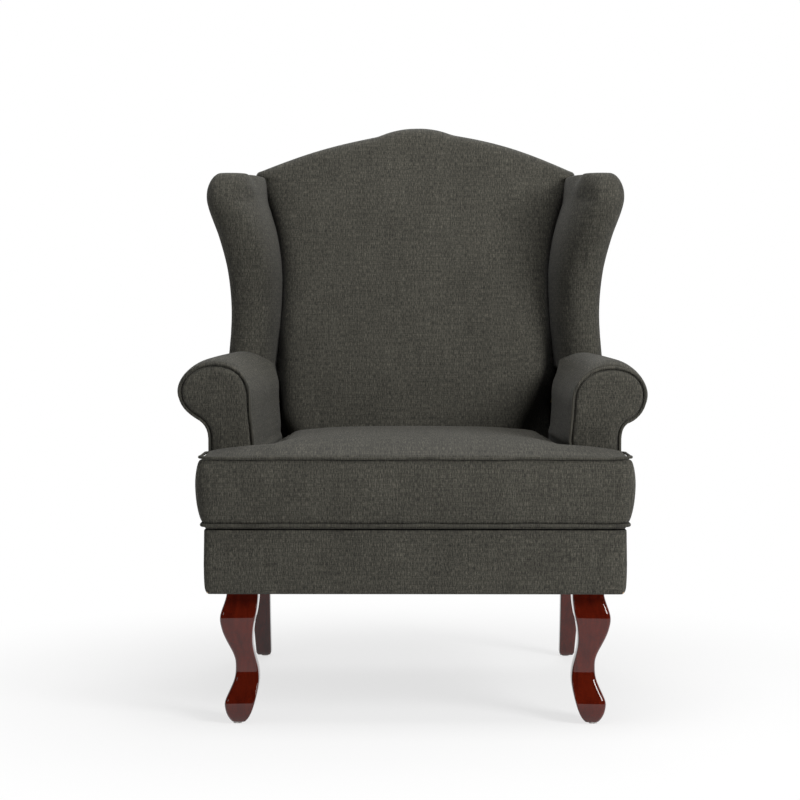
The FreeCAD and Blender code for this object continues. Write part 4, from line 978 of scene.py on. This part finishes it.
def seat_border():
    """The plain fabric border round the front of the seat."""
    half = HALF_WIDTH
    low = COVER_LOW
    high = 328.6
    profile = (  # inset from the outer face, height
        (5.0, high), (1.2, high), (0.3, high - 0.8), (0.0, high - 3), (-0.2, 310), (-0.6, 290), (-0.9, 270),
        (-0.6, 250), (0.0, 238), (0.6, 232), (1.8, 227.5), (3.6, 224.2), (6.0, 222.3), (9.0, low), (16.0, low),
        (16.0, 226.0), (8.0, 228.0), (5.5, 232.0), (5.0, 250.0),
    )
    bend = 12.0
    side = [(half, y, 1.0, 0.0) for y in np.linspace(-ARM_FRONT, -SEAT_FRONT + bend, 9)]
    for step in range(1, 8):
        out_x, out_y = math.cos(math.pi / 2 * step / 8), -math.sin(math.pi / 2 * step / 8)
        side.append((half + bend * (out_x - 1), -SEAT_FRONT + bend * (1 + out_y), out_x, out_y))
    path = side + [(x, -SEAT_FRONT, 0.0, -1.0) for x in np.linspace(half - bend, -half + bend, 49)]
    path += [(-x, y, -out_x, out_y) for x, y, out_x, out_y in reversed(side)]
    rings = []
    for x, y, out_x, out_y in path:
        rings.append([(x - out_x * inset, y - out_y * inset, z) for inset, z in profile])
    border = tube_of_rings("seat_border_cover", rings)
    dress(border, ["rail_cover"])


def deck():
    """The plain cloth deck under the loose cushion."""
    mesh = frame["nodes"]["seat_deck"].data.copy()
    thing = placed("seat_deck_cover", mesh)

    def work(body):
        bmesh.ops.remove_doubles(body, verts=body.verts, dist=0.00005)
        bmesh.ops.dissolve_limit(body, angle_limit=0.02, verts=body.verts, edges=body.edges)

    reworked(mesh, work)
    edge = thing.modifiers.new("edge", "BEVEL")
    edge.width = 0.004
    edge.segments = 3
    bake_modifiers(thing)
    dress(thing, ["seat_deck"], material=DECK_CLOTH)


# Loose seat cushion

CUSHION_FRONT = 405.0
CUSHION_HALF = 363.0
CUSHION_EAR = -276.6
CUSHION_NECK = 262.0
CUSHION_REAR = 140.0
CUSHION_LOW = 330.8
CUSHION_SEAM_LOW = 336.0
CUSHION_SEAM_HIGH = 447.6
CUSHION_CROWN = 20.0
CORNER = 28.0
SEAM_CORNER = 14.0
TOP_CORD = 2.5
LOW_CORD = 2.9
BOXING = (  # height, inset of the side from its fullest
    (336.0, 15.5), (339.8, 15.0), (341.2, 12.0), (343.5, 10.0), (349.0, 7.8), (358.0, 5.2), (370.0, 2.6),
    (386.0, 0.8), (402.0, 0.0), (416.0, 0.8), (428.0, 2.6), (436.0, 4.8), (440.8, 6.6), (443.0, 8.6), (443.9, 11.6),
    (445.6, 12.6),
)
LOW_CORD_INSET = 11.0
TOP_CORD_INSET = 8.2
DOG_EAR = 1.2  # how far the top seam stands up at its front corners


def rounded_corner(x, y, corner_x, corner_y, radius, sign_x, sign_y):
    """Draws a point near a square corner in to a round one."""
    u = (sign_x * (x - corner_x) + radius) / radius
    v = (sign_y * (y - corner_y) + radius) / radius
    if u <= 0 or v <= 0:
        return x, y
    u, v = min(u, 1), min(v, 1)
    nu = u * math.sqrt(1 - v * v / 2)
    nv = v * math.sqrt(1 - u * u / 2)
    return corner_x + sign_x * (nu - 1) * radius, corner_y + sign_y * (nv - 1) * radius


def cushion_plan():
    """Columns and rows of the T: x shares and y values, with the ears only ahead of the arms."""
    close = (0, 4, 9, 15, 22)
    rows = [-CUSHION_FRONT + step for step in (*close, 30)]
    rows += list(np.linspace(-CUSHION_FRONT + 40, CUSHION_EAR - 28, 9))
    rows += [CUSHION_EAR - step for step in (21, 15, 9, 4, 0)]
    rows += list(np.linspace(CUSHION_EAR + 10, CUSHION_REAR - 30, 40))
    rows += [CUSHION_REAR - step for step in reversed(close)]
    inner = list(np.linspace(0, CUSHION_NECK, 28))
    outer = list(np.linspace(CUSHION_NECK, CUSHION_HALF - 30, 7)[1:])
    outer += [CUSHION_HALF - step for step in reversed(close)]
    return rows, inner, outer


def crown(x, y):
    """Height of the stuffed top over its seam."""
    half = mix(CUSHION_HALF, CUSHION_NECK + 12, smooth((y - CUSHION_EAR + 15) / 100))
    fx = 1 - clamp(abs(x / half)) ** 5.5
    if y < -10:
        fy = 1 - clamp(abs(y + 10) / (CUSHION_FRONT - 10)) ** 5.5
    else:
        fy = 1 - clamp((y + 10) / 175.0) ** 4
    return CUSHION_CROWN * fx * fy


def dog_ear(x, y):
    """How strongly a point near a front corner of the top seam stands up."""
    away = math.hypot(abs(x) - (CUSHION_HALF - 12), y + CUSHION_FRONT - 12)
    return smooth(1 - away / 34.0)


def seat_cushion():
    """A T cushion: crowned top, flat underside and a boxing that bulges between two piped seams."""
    rows, inner, outer = cushion_plan()
    across = [-x for x in reversed(outer)] + [-x for x in reversed(inner[1:])] + inner + outer
    last_ear = max(i for i, y in enumerate(rows) if y <= CUSHION_EAR)
    side = len(outer)
    count = len(across)
    rear_half = CUSHION_NECK - TOE_IN * (CUSHION_REAR - CUSHION_EAR)

    def plan(row, column, inset, bend):
        """A grid point in plan, with the corners rounded and the edge moved in."""
        x, y = across[column], rows[row]
        sign = 1 if x > 0 else -1
        if row > last_ear:
            x *= (CUSHION_NECK - TOE_IN * (y - CUSHION_EAR)) / CUSHION_NECK
        x, y = rounded_corner(x, y, sign * CUSHION_HALF, -CUSHION_FRONT, bend, sign, -1)
        if row <= last_ear:
            x, y = rounded_corner(x, y, sign * CUSHION_HALF, CUSHION_EAR, bend, sign, 1)
        x, y = rounded_corner(x, y, sign * rear_half, CUSHION_REAR, bend, sign, 1)
        front_share = smooth((-y - 100) / 280)
        return x * (1 - inset / CUSHION_HALF), y + inset * front_share * 0.8

    def used(row, column):
        return row <= last_ear or side <= column < count - side

    rim = [(0, c) for c in range(count)]
    rim += [(r, count - 1) for r in range(1, last_ear + 1)]
    rim += [(last_ear, c) for c in range(count - 2, count - side - 2, -1)]
    rim += [(r, count - side - 1) for r in range(last_ear + 1, len(rows))]
    rim += [(len(rows) - 1, c) for c in range(count - side - 2, side - 1, -1)]
    rim += [(r, side) for r in range(len(rows) - 2, last_ear - 1, -1)]
    rim += [(last_ear, c) for c in range(side - 1, -1, -1)]
    rim += [(r, 0) for r in range(last_ear - 1, 0, -1)]

    def band(low, high):
        for step in range(len(rim)):
            after = (step + 1) % len(rim)
            faces.append((low[step], low[after], high[after], high[step]))

    index = {}
    points = []
    faces = []
    for layer, inset in (("top", BOXING[-1][1]), ("low", BOXING[0][1])):
        for row in range(len(rows)):
            for column in range(count):
                if used(row, column):
                    x, y = plan(row, column, inset, SEAM_CORNER)
                    high = CUSHION_SEAM_HIGH + crown(x, y) + DOG_EAR * 0.8 * dog_ear(x, y)
                    index[(layer, row, column)] = len(points)
                    points.append((x, y, high if layer == "top" else CUSHION_LOW))
        for row in range(len(rows) - 1):
            for column in range(count - 1):
                corners = [(row, column), (row, column + 1), (row + 1, column + 1), (row + 1, column)]
                if all(used(*corner) for corner in corners):
                    quad = [index[(layer, *corner)] for corner in corners]
                    faces.append(quad if layer == "top" else quad[::-1])
    previous = [index[("low", *key)] for key in rim]
    for height, inset in BOXING:
        share = (height - CUSHION_SEAM_LOW) / (CUSHION_SEAM_HIGH - CUSHION_SEAM_LOW)
        bend = mix(SEAM_CORNER, CORNER, math.sin(math.pi * clamp(share)))
        here = []
        for row, column in rim:
            x, y = plan(row, column, inset, bend)
            here.append(len(points))
            points.append((x, y, height + DOG_EAR * dog_ear(x, y) * clamp((share - 0.75) / 0.25)))
        band(previous, here)
        previous = here
    top_rim = [index[("top", *key)] for key in rim]
    band(previous, top_rim)
    for spot in top_rim:
        x, y, _ = points[spot]
        points[spot] = (x, y, CUSHION_SEAM_HIGH + DOG_EAR * dog_ear(x, y))
    cushion = make_object("seat_cushion_cover", points, faces)

    def pinned(spot):
        if spot.z < BOXING[3][0]:
            return 1.0
        if spot.z > BOXING[-4][0] and crown(spot.x, spot.y) < 7:
            return 1.0
        return 0.08

    stuffed(cushion, pinned, cap=5, pressure=4)
    subdivided(cushion)
    dress(cushion, ["seat_cushion"], body=CUSHION_BODY)
    for name, inset, height, radius in (
        ("top", TOP_CORD_INSET, CUSHION_SEAM_HIGH, TOP_CORD),
        ("bottom", LOW_CORD_INSET, CUSHION_SEAM_LOW + 0.8, LOW_CORD),
    ):
        line = []
        for row, column in rim:
            x, y = plan(row, column, inset, SEAM_CORNER)
            lift = DOG_EAR * dog_ear(x, y) if name == "top" else 0.0
            wave = 0.5 * math.sin(x / 31.0 + 1.3) + 0.35 * math.sin(x / 13.0)
            line.append((x, y, height + lift + wave * smooth((-y - 300) / 60)))
        welt = piping(f"cushion_{name}_piping", thinned(line), radius, closed=True)
        dress(welt, [f"cushion_{name}_welt"], material=PIPING, body=CUSHION_BODY)


def thinned(line):
    """Drops points that nearly lie on the one before."""
    kept = [line[0]]
    for point in line[1:]:
        if (Vector(point) - Vector(kept[-1])).length > 3:
            kept.append(point)
    if (Vector(kept[-1]) - Vector(kept[0])).length < 3:
        kept.pop()
    return kept


# Legs

LEG_OUTER_X = 317.0
LEG_STEP = 45.0  # how much further forward than sideways a front leg stands
LEG_OUTSIDE = (  # height, outer face from the outer corner of the leg's square top
    (3.0, -10.6), (5.0, -9.0), (9.0, -6.3), (16.0, -2.9), (24.0, -0.7), (31.0, 0.3), (36.0, 0.3), (42.0, -1.2),
    (52.0, -5.6), (62.0, -10.2), (72.0, -14.2), (82.0, -16.4), (94.0, -17.0), (106.0, -16.2), (118.0, -12.6),
    (130.0, -7.2), (142.0, -1.8), (154.0, 2.8), (164.0, 5.4), (172.0, 6.9), (178.0, 7.2), (184.0, 6.6),
    (192.0, 4.4), (204.0, 0.2), (214.0, -2.6), (224.0, -3.6),
)
LEG_INSIDE = (  # height, inner face from the outer corner
    (3.0, -33.0), (5.0, -35.0), (9.0, -38.4), (16.0, -42.4), (24.0, -45.8), (35.0, -49.2), (48.0, -52.4),
    (62.0, -55.0), (75.0, -56.0), (91.0, -54.6), (105.0, -51.4), (119.0, -48.2), (130.0, -46.6), (142.0, -46.2),
    (154.0, -46.8), (167.0, -48.4), (186.0, -52.6), (204.0, -55.0), (224.0, -56.0),
)


def soft_square(left, right, near, far, z, rounds):
    """A level rectangle with its four corners rounded: right near, right far, left far, left near."""
    spots = (
        (right, near, -1, 1, -90),
        (right, far, -1, -1, 0),
        (left, far, 1, -1, 90),
        (left, near, 1, 1, 180),
    )
    ring = []
    for (x, y, turn_x, turn_y, start), bend in zip(spots, rounds):
        for step in range(6):
            angle = math.radians(start + 90 * step / 5)
            ring.append((x + bend * (turn_x + math.cos(angle)), y + bend * (turn_y + math.sin(angle)), z))
    return ring


def legs():
    """Cabriole front legs with a rounded outer arris, and plain rear legs that sweep back."""
    levels = [3.0, 3.6, 4.8, 6.5] + [9.0 + 5.0 * step for step in range(44)]
    rings = []
    for z in levels:
        outside = along(LEG_OUTSIDE, z, 1)
        inside = along(LEG_INSIDE, z, 1)
        rings.append(soft_square(
            LEG_OUTER_X + inside, LEG_OUTER_X + outside,
            -(LEG_OUTER_X + LEG_STEP + outside), -(LEG_OUTER_X + LEG_STEP + inside),
            z, (7.0, 3.0, 3.0, 3.0),
        ))
    leg = tube_of_rings("front_leg_turned_right", rings)
    rear_rings = []
    for z in [3.0, 3.8, 5.5, 8.0] + [14.0 + 10.0 * step for step in range(22)]:
        share = (z - 3.0) / 221.0
        foot = 2.0 * smooth((8.0 - z) / 5.0)
        outer = mix(313.0, 316.0, share) + 3.0 * math.sin(math.pi * share)
        inner = mix(284.0, 282.0, share)
        swept = 10.0 * math.sin(math.pi * share)
        near = mix(313.0, 245.3, share) - swept
        far = mix(347.0, 285.0, share) - swept
        rear_rings.append(soft_square(inner + foot, outer - foot, near + foot, far - foot, z, (4.0, 4.0, 4.0, 4.0)))
    rear_leg = tube_of_rings("rear_leg_shaped_right", rear_rings)
    for piece, kind in ((leg, "front_leg"), (rear_leg, "rear_leg")):
        twin = mirrored(piece, piece.name.replace("right", "left"))
        for name, thing in (("right", piece), ("left", twin)):
            dress(thing, [f"{kind}_{name}"], material=CHERRY)


# Studio

ROOM_LIGHT = 0.2
ROOM_GLOSS = 0.03  # the room in front and above is dark in reflections
FLOOR_GLOW = 0.72  # how far the floor by the chair is already lifted to white
FLOOR_END = 3.2
BACKDROP_BEND = 1.5
WHITE = (1, 1, 1, 1)


def studio():
    """A pale floor that runs up into a backdrop, soft lamps and a dim room."""
    depth = [(y, 0.0) for y in np.linspace(-9, FLOOR_END, 20)]
    for step in range(1, 13):
        angle = math.pi / 2 * step / 12
        depth.append((FLOOR_END + BACKDROP_BEND * math.sin(angle), BACKDROP_BEND * (1 - math.cos(angle))))
    depth.append((FLOOR_END + BACKDROP_BEND, 9.0))
    points = [(x, y, z) for x in (-12.0, 12.0) for y, z in depth]
    count = len(depth)
    faces = [(i, i + 1, count + i + 1, count + i) for i in range(count - 1)]
    mesh = bpy.data.meshes.new("studio_floor")
    mesh.from_pydata(points, [], faces)
    shade_smooth(mesh)
    floor = placed("studio_floor", mesh)
    material, tree = blank_material("pale_floor")
    shader = tree.fill(tree.tree.nodes["Principled BSDF"], Base_Color=(0.93, 0.93, 0.93, 1), Roughness=0.9,
                       Specular_IOR_Level=0.0)
    path = tree.add("LightPath").outputs
    seen = tree.math("MAXIMUM", path["Is Camera Ray"], path["Is Glossy Ray"])
    seen = tree.math("MAXIMUM", seen, path["Is Transmission Ray"])
    away = tree.add("VectorMath", {"operation": "LENGTH"}, Vector=object_place(tree)).outputs["Value"]
    far = tree.reach(away, 0.4, 1.15, FLOOR_GLOW, 1.0, interpolation_type="SMOOTHSTEP")
    glow = tree.add("Emission", Strength=1.0).outputs[0]
    lit = tree.either(tree.math("MULTIPLY", seen, far), shader.outputs[0], glow)
    tree.put(tree.tree.nodes["Material Output"].inputs["Surface"], lit)
    floor.data.materials.append(material)

    world = bpy.data.worlds.new("dim_room")
    bpy.context.scene.world = world
    world.use_nodes = True
    tree = Tree(world.node_tree)
    path = tree.add("LightPath").outputs
    level = tree.reach(path["Is Glossy Ray"], 0.0, 1.0, ROOM_LIGHT, ROOM_GLOSS)
    room = tree.add("Background", Color=WHITE, Strength=level).outputs[0]
    clear = tree.add("Background", Color=WHITE, Strength=1.0).outputs[0]
    tree.put(tree.tree.nodes["World Output"].inputs["Surface"], tree.either(path["Is Camera Ray"], room, clear))

    for name, place, target, size, power in (
        ("key_softbox", (1.75, -1.95, 1.6), (0, 0, 0.55), 0.9, 49),
        ("fill_softbox", (-1.9, -2.2, 1.2), (0, 0, 0.5), 0.5, 2.5),
        ("top_softbox", (0.0, -0.5, 2.6), (0, 0.0, 0.4), 1.2, 25),
        ("rim_softbox", (0.2, 1.5, 2.5), (0, 0.1, 0.8), 1.2, 16),
    ):
        lamp = bpy.data.lights.new(name, "AREA")
        lamp.shape = "SQUARE"
        lamp.size = size
        lamp.energy = power
        thing = placed(name, lamp)
        thing.location = place
        thing.rotation_euler = (Vector(target) - Vector(place)).to_track_quat("-Z", "Y").to_euler()


PITCH_DOWN = 2.99  # degrees
YAW = 0.4


def camera():
    """The photograph's view: a long lens at sitting eye height, nearly level."""
    lens = bpy.data.cameras.new("camera")
    lens.lens = 98.63
    lens.sensor_width = 36.0
    thing = placed("camera", lens)
    thing.location = (0.0, -3.974, 0.730)
    thing.rotation_euler = (math.pi / 2 - math.radians(PITCH_DOWN), 0, math.radians(YAW))
    bpy.context.scene.camera = thing


camera()
studio()
finish_nodes()
inside_back()
wings()
arms()
facings()
outside_back()
outside_arms()
outside_wings()
seat_border()
deck()
seat_cushion()
legs()
bpy.context.scene.view_settings.view_transform = "Standard"
